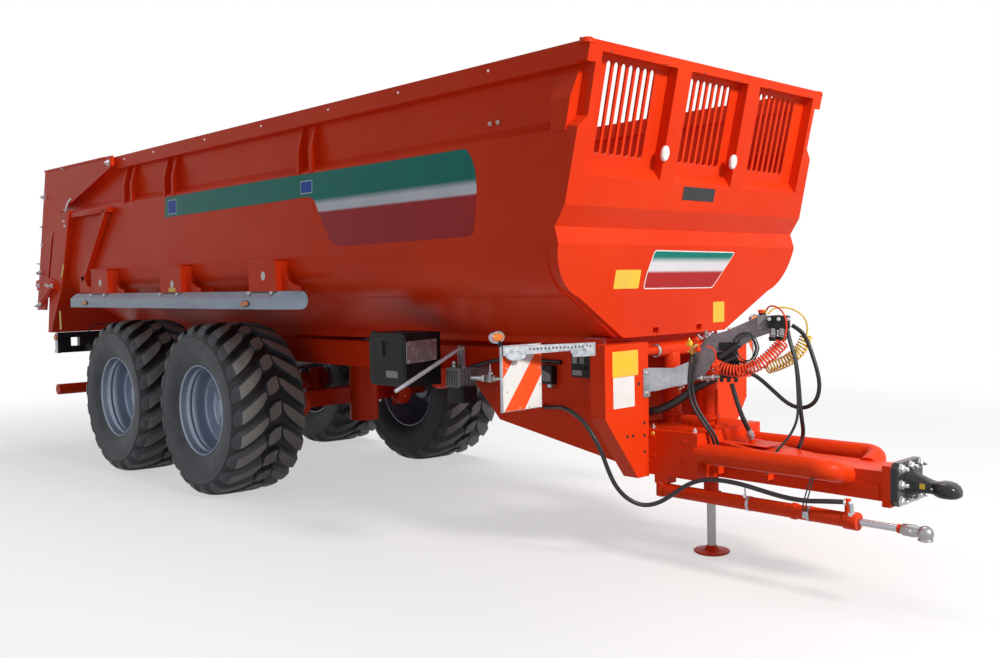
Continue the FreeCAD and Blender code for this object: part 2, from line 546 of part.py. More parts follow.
CUP_X = f"({PLATE_FRONT} + cup_reach)"
NECK_X = f"({PLATE_FRONT} + spoon_neck)"
spoon_plate = block("spoon_plate", (PLATE_REAR, PLATE_FRONT), ("-flange_half", "flange_half"),
                    ("beam_bottom - plate_below", "beam_top + plate_above"))
spoon_points = [(PLATE_FRONT, "-flange_half + 20"), (NECK_X, "-spoon_half"),
                (CUP_X, "-spoon_half", "spoon_half + 0.01", 1), (CUP_X, "spoon_half"),
                (NECK_X, "spoon_half"), (PLATE_FRONT, "flange_half - 20")]
spoon_body = plate("spoon_body", "XY_Plane", spoon_points, ("spoon_bottom", "spoon_top"))
spoon_cup = doc.addObject("Part::Sphere", "spoon_cup")
spoon_cup.setExpression("Radius", bound("ball_radius"))
spoon_cup.setExpression("Placement.Base.x", bound(CUP_X))
spoon_cup.setExpression("Placement.Base.z", bound("spoon_bottom + cup_rise"))
node("coupling_spoon", cut("coupling_spoon", fuse("spoon_solid", spoon_plate, spoon_body), spoon_cup))

# ---------------------------------------------------------------- parking jack
jack_barrel = rod("jack_barrel", "z", ("jack_x", "0", "0"), ("jack_tube_low", "jack_tube_top"),
                  "jack_tube_radius")
jack_seat = block("jack_seat", ("jack_x - jack_flange / 2", "jack_x + jack_flange / 2"),
                  ("-jack_flange / 2", "jack_flange / 2"), ("root_top", "root_top + jack_flange_thick"))
jack_inside = rod("jack_inside", "z", ("jack_x", "0", "0"), ("jack_tube_low - 1", "jack_tube_top - 30"),
                  "jack_leg_radius + shaft_clearance")
node("jack_tube", cut("jack_tube", fuse("jack_solid", jack_barrel, jack_seat), jack_inside))
jack_shaft = rod("jack_shaft", "z", ("jack_x", "0", "0"), ("jack_foot_thick / 2", "jack_leg_top - 380"),
                 "jack_leg_radius")
jack_foot = rod("jack_foot", "z", ("jack_x", "0", "0"), ("0", "jack_foot_thick"), "jack_foot_radius")
node("jack_leg", fuse("jack_leg", jack_shaft, jack_foot))

# ---------------------------------------------------------------- drawbar suspension
ride_barrel = rod("ride_barrel", "z", ("ride_x", "0", "0"), ("root_top", "ride_barrel_top"),
                  "ride_barrel_radius")
ride_rod = rod("ride_rod", "z", ("ride_x", "0", "0"), ("ride_barrel_top", "ride_head_z"), "ride_rod_radius")
ride_head = rod("ride_head", "y", ("ride_x", "0", "ride_head_z"), ("-ride_head_half", "ride_head_half"),
                "ride_head_radius")
ride_pin = rod("ride_pin", "y", ("ride_x", "0", "ride_head_z"), ("-column_inner", "column_inner"),
               "ride_pin_radius")
node("suspension_cylinder", fuse("suspension_cylinder", ride_barrel, ride_rod, ride_head, ride_pin))

# ---------------------------------------------------------------- forced steering cylinder
GLAND_X = "(beam_front_x - ram_gland_back)"
RAM_CUP_X = f"({CUP_X} + ram_cup_ahead)"
ram_barrel = rod("ram_barrel", "x", ("0", "ram_y", "ram_z"), ("ram_rear_x + 60", GLAND_X), "ram_radius")
ram_eye = rod("ram_eye", "z", ("ram_rear_x + 30", "ram_y", "0"), ("ram_z - 34", "ram_z + 34"), "ram_radius")
ram_lug = block("ram_lug", ("ram_rear_x - 10", "ram_rear_x + 70"), ("ram_y - 20", "ram_y + 70"),
                ("ram_z + 34", "root_bottom"))
ram_elbow = rod("ram_elbow", "z", (f"{GLAND_X} - ram_port_back", "ram_y - 16", "0"),
                ("ram_z + 20", "ram_z + ram_port_rise"), "ram_port_radius")
ram_hollow = rod("ram_hollow", "x", ("0", "ram_y", "ram_z"), (f"{GLAND_X} - 260", f"{GLAND_X} - 30"),
                 "ram_bore")
ram_gland_bore = rod("ram_gland_bore", "x", ("0", "ram_y", "ram_z"), (f"{GLAND_X} - 40", f"{GLAND_X} + 1"),
                     "ram_rod_radius + shaft_clearance")
ram_solid = fuse("ram_solid", ram_barrel, ram_eye, ram_lug, ram_elbow)
node("steering_cylinder", cut("steering_cylinder", ram_solid, fuse("ram_voids", ram_hollow, ram_gland_bore)))
ram_rod = rod("ram_rod", "x", ("0", "ram_y", "ram_z"), (f"{GLAND_X} - 160", RAM_CUP_X), "ram_rod_radius")
ram_cup = doc.addObject("Part::Sphere", "ram_cup")
ram_cup.setExpression("Radius", bound("ram_cup_radius"))
ram_skirt = rod("ram_skirt", "z", (RAM_CUP_X, "ram_y", "0"), ("ram_z - 32", "ram_z"), "ram_cup_radius - 8")
ram_ball = doc.addObject("Part::Sphere", "ram_ball")
ram_ball.setExpression("Radius", bound("ram_ball_radius"))
for ball, height in ((ram_cup, "ram_z"), (ram_ball, "ram_z - 28")):
    ball.setExpression("Placement.Base.x", bound(RAM_CUP_X))
    ball.setExpression("Placement.Base.y", bound("ram_y"))
    ball.setExpression("Placement.Base.z", bound(height))
node("steering_rod", cut("steering_rod", fuse("ram_rod_solid", ram_rod, ram_cup, ram_skirt), ram_ball))

# ---------------------------------------------------------------- load body
half_outer = [("-floor_half", "floor_z"), ("-belly_y", "belly_z", "corner_radius", -1),
              ("-side_y", "side_z"), ("-ledge_y", "ledge_z"), ("-upper_y", "upper_z"),
              ("-upper_y", "rim_low_z")]


def mirrored(points):
    """The other half of a closed outline that is the same on both sides."""
    twins = []
    for index, point in enumerate(reversed(points)):
        position = len(points) - 1 - index
        flipped = (f"-1 * ({point[0]})", point[1])
        arc_before = position > 0 and len(points[position - 1]) == 4
        twins.append(flipped + points[position - 1][2:] if arc_before else flipped)
    return twins


LONG_SPAN = ("rear_bottom_x - 100", "front_top_x + 100")
tub_silhouette = half_outer + [("-ledge_y", "rim_low_z"), ("-ledge_y", "body_top")]
tub_outer = plate("tub_outer", "YZ_Plane", tub_silhouette + mirrored(tub_silhouette), LONG_SPAN)
front_back_shift = f"(front_thick / {FRONT_COS})"
side_view = plate("side_view", "XZ_Plane", [
    ("rear_bottom_x", "floor_z"), (f"front_bottom_x - {front_back_shift}", "floor_z"),
    (f"front_top_x - {front_back_shift}", "body_top"), ("rear_top_x", "body_top")], ("-1300", "1300"))

side_skin = half_outer[1:] + [
    ("-upper_y + skin", "rim_low_z"), ("-upper_y + skin", "upper_z - 3"), ("-ledge_y + skin", "ledge_z - 3"),
    ("-side_y + skin", "side_z", "corner_radius - skin", 1), ("-belly_y + 5", "belly_z + 7")]
side_skin_long = plate("side_skin_long", "YZ_Plane", side_skin, LONG_SPAN)
pair("side_wall", common("side_wall", side_skin_long, side_view))

floor_skin = [("-belly_y", "belly_z"), ("-floor_half", "floor_z"), ("floor_half", "floor_z"),
              ("belly_y", "belly_z"), ("belly_y - 5", "belly_z + 7"), ("floor_half - 2", "floor_z + skin"),
              ("-floor_half + 2", "floor_z + skin"), ("-belly_y + 5", "belly_z + 7")]
floor_long = plate("floor_long", "YZ_Plane", floor_skin, LONG_SPAN)
node("floor", common("floor", floor_long, side_view))

rim_long = block("rim_long", ("top_rim_rear_x", "front_top_x + 50"), ("-ledge_y", "-ledge_y + rim_box_width"),
                 ("rim_low_z", "body_top"))
rim_view = common("rim_view", rim_long, side_view)
gate_pin = rod("gate_pin", "y", ("gate_pivot_x", "0", "body_top - gate_pivot_drop"),
               ("-cheek_in - cheek_thick - 10", "-ledge_y"), "gate_pin_radius")
rim_rear = block("rim_rear", ("rear_top_x - 100", "top_rim_rear_x"), ("-upper_y", "-ledge_y + rim_box_width"),
                 ("rim_low_z", "body_top"))
rim_rear_view = common("rim_rear_view", rim_rear, side_view)
both("top_rims", fuse("top_rim", rim_view, rim_rear_view, gate_pin))

bearer_points = [("hinge_x - hinge_ear_radius + 5", "bearer_low + 20"), ("hinge_x + 60", "bearer_low"),
                 ("bearer_front_x", "bearer_low + bearer_tip_thick"), ("bearer_front_x", "floor_z"),
                 ("hinge_x - hinge_ear_radius + 5", "floor_z")]
bearer = plate("bearer", "XZ_Plane", bearer_points, ("-rail_outer", f"-{RAIL_INNER}"))
bearer_bore = rod("bearer_bore", "y", ("hinge_x", "0", "hinge_z"), ("-rail_outer - 1", f"-{RAIL_INNER} + 1"),
                  "hinge_pin_radius + shaft_clearance")
bearer_right = cut("bearer_right", bearer, bearer_bore)
lift_cheeks = [block(f"lift_cheek_{tag}", ("lift_x - 60", "lift_x + 60"), span, ("lift_head_z - 20", "floor_z"))
               for tag, span in (("r", ("-90", "-60")), ("l", ("60", "90")))]
node("body_bearers", fuse("body_bearers", bearer_right, copy_left("bearer_left", bearer_right), *lift_cheeks))


# ---------------------------------------------------------------- front wall, made upright and then leant
def up(height):
    """A height on the trailer, measured up the front wall's slope from its foot."""
    return f"(({height}) - floor_z) / {FRONT_COS}"


def round_slot(name, middle):
    """The void of one upright slot with round ends."""
    low, high = up("slot_low") + " + slot_width / 2", up("slot_high") + " - slot_width / 2"
    through = ("-front_thick - 1", "1")
    straight = block(name + "_straight", through, (f"{middle} - slot_width / 2", f"{middle} + slot_width / 2"),
                     (low, high))
    ends = [rod(f"{name}_{tag}", "x", ("0", middle, height), through, "slot_width / 2")
            for tag, height in (("low", low), ("high", high))]
    return fuse(name, straight, *ends)


wall_outline = [(p[0], up(p[1])) + p[2:] for p in tub_silhouette]
wall_slab = plate("wall_slab", "YZ_Plane", wall_outline + mirrored(wall_outline), ("-front_thick", "0"))
wall_cuts = []
for number, (left, right) in enumerate((("-grille_half", "-mullion_y - mullion_half"),
                                        ("-mullion_y + mullion_half", "mullion_y - mullion_half"),
                                        ("mullion_y + mullion_half", "grille_half"))):
    bay_points = [("-front_thick + grille_back", up("grille_low")), ("1", up("grille_sill")),
                  ("1", up("grille_high")), ("-front_thick + grille_back", up("grille_high"))]
    wall_cuts.append(plate(f"bay_{number}", "XZ_Plane", bay_points, (left, right)))
    for slot in range(7):
        middle = f"(({left}) + ({right})) / 2 + slot_pitch * {slot - 3}"
        wall_cuts.append(round_slot(f"slot_{number}_{slot}", middle))
belt_points = [("1", up("belt_high")), ("-belt_depth", up("belt_low")), ("1", up("belt_foot"))]
wall_cuts.append(plate("belt", "XZ_Plane", belt_points, ("-side_y - 1", "side_y + 1")))
for tag, middle in (("r", "-lift_hole_y"), ("l", "lift_hole_y")):
    wall_cuts.append(block("lift_hole_" + tag, ("-front_thick - 1", "1"),
                           (f"{middle} - lift_hole_reach", f"{middle} + lift_hole_reach"),
                           (up("lift_hole_z - lift_hole_radius"), up("lift_hole_z + lift_hole_radius"))))
node("front_wall", tilted(cut("front_wall", wall_slab, fuse("wall_voids", *wall_cuts))))

# ---------------------------------------------------------------- side posts, rear frame, fenders
post_points = [("-upper_y", "rim_low_z"), ("-upper_y - 22", "rim_low_z"), ("-post_bulge", "upper_z + 90"),
               ("-post_bulge", "ledge_z - 10"), ("-ledge_y", "ledge_z - 10"), ("-ledge_y", "ledge_z"),
               ("-upper_y", "upper_z")]
posts = []
for number, middle in enumerate(("post_one_x", "post_two_x", "post_three_x")):
    for end in ("-", "+"):
        start = f"({middle} {end} post_pair_gap / 2)"
        posts.append(plate(f"post_{number}_{'rear' if end == '-' else 'front'}", "YZ_Plane", post_points,
                           (start, f"{start} + post_thick")))
corner_x = f"(front_bottom_x + (rim_low_z - floor_z) * tan({FRONT_LEAN}) - {front_back_shift})"
corner_span = (f"{corner_x} - front_post_width - 70", f"{corner_x} + 200")
posts.append(common("corner_post", plate("corner_post_long", "YZ_Plane", post_points, corner_span), side_view))
both("side_posts", cut("side_posts", group("posts_solid", posts), tub_outer))

frame_points = [("frame_head_front_x", "frame_top_z"), ("frame_head_rear_x", "frame_top_z - 15"),
                ("frame_knee_x", "frame_knee_z"), ("frame_heel_x", "frame_low_z - 50"),
                ("sill_front_x", "frame_low_z - 50"), ("sill_front_x + 90", "frame_step_z"),
                ("frame_waist_x", "frame_waist_z")]
frame_long = plate("frame_long", "XZ_Plane", frame_points, ("-frame_out", "frame_out"))
node("rear_frame", cut("rear_frame", frame_long, tub_outer))

fender_points = [("fender_rear_x", "-fender_inner"), ("fender_rear_x", "-fender_out"),
                 ("fender_front_x", "-fender_out"), ("fender_nose_x", "-fender_nose_y - 30"),
                 ("fender_nose_x", "-fender_nose_y")]
fender_solid = plate("fender_solid", "XY_Plane", fender_points, ("fender_low", "fender_high"))
fender_void_points = [("fender_rear_x + fender_sheet", "-fender_inner + 1"),
                      ("fender_rear_x + fender_sheet", "-fender_out + fender_sheet"),
                      ("fender_front_x - 2", "-fender_out + fender_sheet"),
                      ("fender_nose_x - fender_sheet", "-fender_nose_y - 30 + fender_sheet"),
                      ("fender_nose_x - fender_sheet", "-fender_inner + 1")]
fender_void = plate("fender_void", "XY_Plane", fender_void_points,
                    ("fender_low - 1", "fender_high - fender_sheet"))
both("fenders", cut("fender", fender_solid, fender_void))
brackets = []
for number, start in enumerate(("bracket_one_x", "bracket_two_x", "bracket_three_x")):
    brackets.append(plate(f"bracket_{number}", "YZ_Plane", [
        ("-side_y + 260", "fender_high"), ("-bracket_out", "fender_high"), ("-bracket_out", "bracket_high"),
        ("-side_y + 260", "bracket_high")], (start, f"{start} + bracket_length")))
both("fender_brackets", cut("fender_brackets", group("brackets_solid", brackets), tub_outer))

# ---------------------------------------------------------------- tailgate
gate_front = "(rear_bottom_x - gate_seal)"
gate_section = plate("gate_section", "YZ_Plane", tub_silhouette + mirrored(tub_silhouette),
                     ("rear_bottom_x - 400", "rear_top_x + 100"))
gate_view = plate("gate_view", "XZ_Plane", [
    (gate_front, "floor_z"), ("rear_top_x - gate_seal", "body_top"),
    ("rear_top_x - gate_seal - gate_thick", "body_top"), (f"{gate_front} - gate_thick", "floor_z")],
    ("-1300", "1300"))
node("tailgate_panel", common("tailgate_panel", gate_section, gate_view))
cheek_points = [("gate_pivot_x + 45", "body_top + gate_rise - 15"), ("gate_rear_top_x", "body_top + gate_rise"),
                ("gate_rear_low_x", "gate_rear_low_z"), ("gate_rear_low_x + cheek_width", "gate_rear_low_z"),
                ("cheek_knee_x", "cheek_knee_z"), ("cheek_heel_x", "frame_top_z - 10"),
                ("gate_pivot_x - 30", "body_top - gate_pivot_drop - 45"),
                ("gate_pivot_x + 45", "body_top - gate_pivot_drop - 35")]
cheek = plate("cheek", "XZ_Plane", cheek_points, ("-cheek_in - cheek_thick", "-cheek_in"))
cheek_bore = rod("cheek_bore", "y", ("gate_pivot_x", "0", "body_top - gate_pivot_drop"),
                 ("-cheek_in - cheek_thick - 1", "-cheek_in + 1"), "gate_pin_radius + shaft_clearance")
cheek_cut = cut("cheek_cut", cheek, cheek_bore)
flange_points = [("rear_top_x - gate_seal - gate_thick", "body_top"),
                 ("gate_rear_top_x + 12", "body_top + gate_rise - 20"),
                 ("gate_rear_low_x + 12", "gate_rear_low_z"),
                 (f"{gate_front} - gate_thick + (gate_rear_low_z - floor_z) * {REAR_SLOPE}", "gate_rear_low_z")]
cheek_flange = plate("cheek_flange", "XZ_Plane", flange_points, ("-cheek_in", "-side_y + 20"))
cheek_right = fuse("cheek_right", cheek_cut, cheek_flange)
gate_bar = block("gate_bar", ("gate_rear_top_x + 12", "gate_rear_top_x + 112"), ("-side_y + 20", "side_y - 20"),
                 ("body_top + gate_rise - 120", "body_top + gate_rise - 20"))
node("tailgate_frame", fuse("tailgate_frame", cheek_right, copy_left("cheek_left", cheek_right), gate_bar))

# ---------------------------------------------------------------- tipping cylinder
lift_barrel = rod("lift_barrel", "z", ("lift_x", "0", "0"), ("lift_low", "lift_top"), "lift_radius")
lift_inside = rod("lift_inside", "z", ("lift_x", "0", "0"), ("lift_low + lift_wall", "lift_top + 1"),
                  "lift_radius - lift_wall")
trunnion = rod("trunnion", "y", ("lift_x", "0", "lift_pivot_z"), ("-lift_radius - 40", "lift_radius + 40"),
               "lift_trunnion_radius")
barrel_hollow = cut("barrel_hollow", fuse("barrel_solid", lift_barrel, trunnion), lift_inside)
node("lift_barrel", barrel_hollow)
STAGES = 5
for stage in range(1, STAGES + 1):
    outer = f"(lift_radius - lift_wall - shaft_clearance - {stage - 1} * lift_step)"
    low, high = f"(lift_low + lift_wall + 1 + {stage - 1} * 8)", f"(lift_top + {stage} * lift_rise)"
    tube = rod(f"stage_{stage}_tube", "z", ("lift_x", "0", "0"), (low, high), outer)
    if stage < STAGES:
        hole = rod(f"stage_{stage}_hole", "z", ("lift_x", "0", "0"), (f"{low} + 6", f"{high} + 1"),
                   f"{outer} - lift_step + shaft_clearance")
        node(f"lift_stage_{stage}", cut(f"lift_stage_{stage}", tube, hole))
    else:
        ball = doc.addObject("Part::Sphere", "lift_ball")
        ball.setExpression("Radius", bound("lift_ball_radius"))
        ball.setExpression("Placement.Base.x", bound("lift_x"))
        ball.setExpression("Placement.Base.z", bound("lift_head_z"))
        node(f"lift_stage_{stage}", fuse(f"lift_stage_{stage}", tube, ball))

# ---------------------------------------------------------------- rear lights and underrun bar
arm_box = block("arm_box", ("lamp_bar_x", "lamp_bar_x + lamp_bar_thick"), ("-lamp_bar_half", "-rail_outer"),
                ("lamp_bar_low", "lamp_bar_high"))
arm_window = block("arm_window", ("lamp_bar_x - 1", "lamp_bar_x + lamp_bar_thick + 1"),
                   ("-lamp_window_y - lamp_window / 2", "-lamp_window_y + lamp_window / 2"),
                   ("lamp_window_z - lamp_window / 2", "lamp_window_z + lamp_window / 2"))
both("light_bars", cut("light_bar", arm_box, arm_window))
both("tail_lamps", block("tail_lamp", ("lamp_bar_x - lamp_depth", "lamp_bar_x"),
                        ("-lamp_window_y + lamp_window / 2 + 15", "-lamp_window_y + lamp_window / 2 + 215"),
                        ("lamp_window_z - lamp_half", "lamp_window_z + lamp_half")))
underrun_tube = rod("underrun_tube", "y", ("underrun_x", "0", "underrun_z"),
                    ("-underrun_half", "underrun_half"), "underrun_radius")
hangers = [block(f"hanger_{tag}", ("underrun_x - 45", "underrun_x + 45"), span, ("underrun_z", "rail_bottom"))
           for tag, span in (("r", (f"-{RAIL_MIDDLE} - 20", f"-{RAIL_MIDDLE} + 20")),
                             ("l", (f"{RAIL_MIDDLE} - 20", f"{RAIL_MIDDLE} + 20")))]
node("underrun_bar", fuse("underrun_bar", underrun_tube, *hangers))

# ---------------------------------------------------------------- toolbox and hand pump
box_x = ("toolbox_rear_x", "toolbox_rear_x + toolbox_length")
box_shell = block("box_shell", box_x,
                  ("-toolbox_out + toolbox_door + seat_gap", "-toolbox_out + toolbox_depth"),
                  ("toolbox_low", "toolbox_high"))
box_inside = block("box_inside", (f"{box_x[0]} + toolbox_wall", f"{box_x[1]} - toolbox_wall"),
                   ("-toolbox_out", "-toolbox_out + toolbox_depth - toolbox_wall"),
                   ("toolbox_low + toolbox_wall", "toolbox_high - toolbox_wall"))
node("toolbox", cut("toolbox", box_shell, box_inside))
node("toolbox_door", block("toolbox_door", box_x, ("-toolbox_out", "-toolbox_out + toolbox_door"),
                           ("toolbox_low", "toolbox_high")))
pump_tank = block("pump_tank", ("pump_x", "pump_x + pump_length"),
                  ("-pump_out", "-pump_out + pump_depth - 15"), ("pump_low", "pump_waist"))
pump_casting = block("pump_casting", ("pump_x - pump_overhang", "pump_x + pump_length - 17"),
                     ("-pump_out - 10", "-pump_out + pump_depth"), ("pump_waist", "pump_high"))
pump_foot = block("pump_foot", ("pump_x", "pump_x + 100"), ("-pump_out + pump_depth", "-rail_outer"),
                  ("pump_high - 70", "pump_high"))
pump_ear = block("pump_ear", ("pump_pivot_x - 40", "pump_pivot_x + 6"), ("-pump_out + 20", "-pump_out + 50"),
                 ("pump_high", "pump_pivot_z + 15"))
pump_pivot = FreeCAD.Vector(size("pump_pivot_x"), size("-pump_out + 20"), size("pump_pivot_z"))
lever_tip = FreeCAD.Vector(size("pump_x"), size("-lever_tip_out"), size("lever_tip_z"))
lever_way = lever_tip - pump_pivot
lever = doc.addObject("Part::Cylinder", "lever")
lever.Placement = FreeCAD.Placement(pump_pivot, FreeCAD.Rotation(FreeCAD.Vector(0, 0, 1), lever_way))
lever.Height = lever_way.Length
lever.setExpression("Radius", bound("lever_radius"))
node("hand_pump", fuse("hand_pump", pump_tank, pump_casting, pump_foot, pump_ear, lever))

# ---------------------------------------------------------------- marker boards
board = block("board", ("marker_x", "marker_x + marker_thick"), ("-marker_out", "-marker_out + marker_wide"),
              ("marker_low", "marker_high"))
arm_start = "(marker_x + marker_thick)"
arm_points = [(arm_start, "-marker_out"), (f"{arm_start} + 6", "-marker_out"),
              (f"{arm_start} + marker_arm_run", "-column_outer"),
              (f"{arm_start} + marker_arm_run - 8", "-column_outer"), (arm_start, "-marker_out + 18")]
board_arm = plate("board_arm", "XY_Plane", arm_points, ("marker_arm_low", "marker_arm_high"))
board_lamp = block("board_lamp", ("marker_x - 20", "marker_x + 18"),
                   ("-marker_out - 12", "-marker_out + marker_lamp - 12"),
                   ("marker_high", "marker_high + marker_lamp"))
both("marker_boards", fuse("marker_board", board, board_arm, board_lamp))

# ---------------------------------------------------------------- hose holder
# It is drawn along its own line, which runs out of the right column and is then turned. Each
# outline point is a place along that line and a height.
HOLDER_OUTLINE = [
    ("0", "930"), ("41", "934"), ("141", "960"), ("228", "978"), ("300", "1008"), ("412", "1180"),
    ("482", "1168"), ("577", "1227"), ("696", "1269"), ("760", "1275"), ("703", "1352"), ("591", "1340"),
    ("419", "1263"), ("328", "1243"), ("256", "1144"), ("222", "1097"), ("141", "1063"), ("0", "1062")]
holder_arm = plate("holder_arm", "XZ_Plane", HOLDER_OUTLINE, ("-holder_thick / 2", "holder_thick / 2"))
HOLDER_FITTINGS = {
    "couplings": (("600", "760"), ("-50", "50"), ("1275", "1350")),
    "hose_clamp": (("380", "490"), ("-8", "62"), ("985", "1215")),
    "tap_block": (("235", "330"), ("-85", "0"), ("1145", "1235")),
}
fittings = [block(name, *spans) for name, spans in HOLDER_FITTINGS.items()]
holder_reach = fuse("holder_reach", holder_arm, *fittings)
holder_reach.Placement = FreeCAD.Placement(
    FreeCAD.Vector(), FreeCAD.Rotation(FreeCAD.Vector(0, 0, 1), size("holder_turn")))
holder_reach.setExpression("Placement.Base.x", bound("column_front_x"))
holder_reach.setExpression("Placement.Base.y", bound("-column_inner"))
holder_reach.setExpression("Placement.Rotation.Angle", bound("holder_turn"))
holder_foot = block("holder_foot", ("column_front_x", "column_front_x + holder_thick"),
                    ("-column_inner - holder_foot_wide", "-column_inner + 6"),
                    ("holder_foot_low", "holder_foot_high"))
holder_trim = block("holder_trim", ("column_front_x - 60", "column_front_x"),
                    ("-column_inner - 60", "-column_inner + 60"), ("holder_foot_low", "holder_foot_high + 40"))
node("hose_holder", cut("hose_holder", fuse("holder_body", holder_reach, holder_foot), holder_trim))

# ---------------------------------------------------------------- hoses and air lines
# Each route is the middle line of one hose, in millimetres on the trailer.
STEERING_ROUTE = [
    (2080, -479, 812), (2190, -520, 822), (2300, -590, 842), (2402, -665, 852), (2510, -712, 840),
    (2602, -722, 796), (2662, -712, 718), (2690, -682, 630), (2703, -650, 535), (2718, -606, 442),
    (2744, -540, 368), (2800, -478, 330), (2869, -430, 348), (2935, -390, 400), (3006, -360, 458),
    (3096, -345, 494), (3205, -340, 503), (3331, -338, 497), (3452, -336, 478), (3570, -336, 463),
    (3684, -335, 462), (3780, -328, 475), (3865, -311, 481)]
PAIR_ROUTE = [
    (2969, -243, 1143), (2955, -248, 1050), (2952, -250, 950), (2975, -247, 860), (3028, -238, 785),
    (3072, -210, 708), (3079, -183, 626), (3077, -180, 542)]
BUNDLE_ROUTE = [
    (2552, -262, 800), (2700, -258, 802), (2830, -210, 868), (2935, -160, 962), (3031, -117, 1010)]
CROSS_ROUTE = [
    (3116, -102, 981), (3134, -96, 915), (3152, -82, 840), (3167, -58, 770), (3179, -28, 718), (3184, -13, 681)]
LOOP_ROUTE = [
    (3141, -52, 1050), (3177, -33, 1043), (3222, -6, 1012), (3266, 16, 968), (3312, 29, 925),
    (3362, 36, 884), (3416, 40, 861), (3474, 42, 862), (3524, 42, 892), (3549, 41, 944), (3553, 40, 1002),
    (3541, 39, 1062), (3522, 39, 1120), (3500, 43, 1176), (3472, 52, 1226), (3434, 63, 1268), (3391, 51, 1294)]
THICK_ROUTE = [
    (3384, 16, 1272), (3398, 13, 1215), (3428, 8, 1145), (3446, 5, 1065), (3456, 4, 975), (3461, 5, 890),
    (3466, 12, 810), (3458, 44, 744), (3426, 92, 694), (3386, 146, 656), (3345, 172, 600), (3331, 165, 534)]
THIN_ROUTE = [
    (3395, -6, 1272), (3407, -8, 1215), (3436, -13, 1145), (3452, -16, 1065), (3460, -18, 975),
    (3464, -20, 890), (3464, -26, 810), (3447, -52, 742), (3428, -98, 690), (3402, -138, 645),
    (3375, -160, 592), (3366, -165, 531)]


def hose(name, points, diameter):
    node(name, pipe(name, points, diameter / 2))


hose("hose_steering", STEERING_ROUTE, 24)
hose("hose_pair_right", [(x - 7, y - 7, z) for x, y, z in PAIR_ROUTE], 16)
hose("hose_pair_left", [(x + 7, y + 7, z) for x, y, z in PAIR_ROUTE], 16)
hose("hose_bundle", BUNDLE_ROUTE, 46)
hose("hose_cross", CROSS_ROUTE, 26)
hose("hose_loop", LOOP_ROUTE, 22)
hose("hose_drop_thick", THICK_ROUTE, 22)
hose("hose_drop_thin", THIN_ROUTE, 14)


def spiral(name, start, coil, end, coil_diameter, line_diameter):
    """A spiral air line: its stretched coil as one thick tube, and its two straight ends."""
    node(name, group(name, [pipe(name + "_start", start, line_diameter / 2),
                            pipe(name + "_coil", coil, coil_diameter / 2),
                            pipe(name + "_end", end, line_diameter / 2)]))


spiral("air_line_red",
       [(3038, -217, 1188), (3068, -202, 1181), (3081, -196, 1145), (3074, -188, 1094)],
       [(3072, -186, 1086), (3118, -172, 1060), (3195, -146, 1052), (3283, -116, 1085), (3360, -90, 1151),
        (3415, -78, 1215)],
       [(3418, -77, 1220), (3430, -71, 1278), (3422, -62, 1336), (3385, -48, 1382), (3330, -33, 1402),
        (3285, -22, 1392), (3270, -17, 1352.2)], 76, 9)
spiral("air_line_yellow",
       [(3170, 10, 1100), (3178, 34, 1074), (3196, 56, 1060), (3225, 69, 1058)],
       [(3227, 70, 1058), (3319, 82, 1086), (3388, 94, 1136), (3430, 106, 1190), (3441, 114, 1241)],
       [(3442, 114, 1242), (3449, 112, 1295), (3430, 100, 1345), (3385, 76, 1380), (3330, 45, 1392),
        (3288, 18, 1380), (3276, 4, 1353)], 76, 9)

# ---------------------------------------------------------------- checks and export
doc.recompute()
faults = [item.Name for item in doc.Objects if "Invalid" in item.State or "Error" in item.State]
for label, piece in NODES:
    if piece.Shape.isNull() or not piece.Shape.isValid() or piece.Shape.Volume <= 0:
        faults.append(label)
assert not faults, f"failed: {faults}"
os.makedirs("parts", exist_ok=True)
for label, piece in NODES:
    piece.Shape.exportStep(f"parts/{label}.step")
print(len(NODES), "pieces")
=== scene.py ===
import math

import bmesh
import bpy
from mathutils import Matrix, Vector


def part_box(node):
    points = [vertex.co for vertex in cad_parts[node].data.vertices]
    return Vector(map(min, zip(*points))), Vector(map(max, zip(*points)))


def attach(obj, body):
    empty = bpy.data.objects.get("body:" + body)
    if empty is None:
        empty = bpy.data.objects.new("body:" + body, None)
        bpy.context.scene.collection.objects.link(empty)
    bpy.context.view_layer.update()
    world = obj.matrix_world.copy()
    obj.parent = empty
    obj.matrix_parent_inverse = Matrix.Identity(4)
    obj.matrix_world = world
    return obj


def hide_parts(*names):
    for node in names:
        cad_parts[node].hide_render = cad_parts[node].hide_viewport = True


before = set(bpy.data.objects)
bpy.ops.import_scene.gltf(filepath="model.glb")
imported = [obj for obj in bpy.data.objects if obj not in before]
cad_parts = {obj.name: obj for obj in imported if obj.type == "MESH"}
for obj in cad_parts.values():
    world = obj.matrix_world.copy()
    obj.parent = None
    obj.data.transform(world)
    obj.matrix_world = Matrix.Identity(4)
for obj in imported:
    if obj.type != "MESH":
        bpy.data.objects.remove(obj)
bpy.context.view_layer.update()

scene = bpy.context.scene
X, Y, Z = Vector((1, 0, 0)), Vector((0, 1, 0)), Vector((0, 0, 1))


def mm(rows):
    """Points in metres from text such as "10 20, 30 40", or a list of points as it is."""
    if not isinstance(rows, str):
        return rows
    return [tuple(float(number + "e-3") for number in row.split()) for row in rows.split(",")]


def spot(place):
    """A place as a Vector, from text in millimetres or from numbers in metres."""
    return Vector(mm(place)[0] if isinstance(place, str) else place)


def placed(name, data):
    """A new object of this name in the scene."""
    thing = bpy.data.objects.new(name, data)
    scene.collection.objects.link(thing)
    return thing


# ---------------------------------------------------------------- camera
CAMERA_PLACE = Vector((6.117, -4.709, 1.55))
CAMERA_YAW, CAMERA_PITCH, CAMERA_ROLL = 0.7651, 0.046703, 0.019171
CAMERA_LENS, SENSOR_WIDTH = 35.85, 36


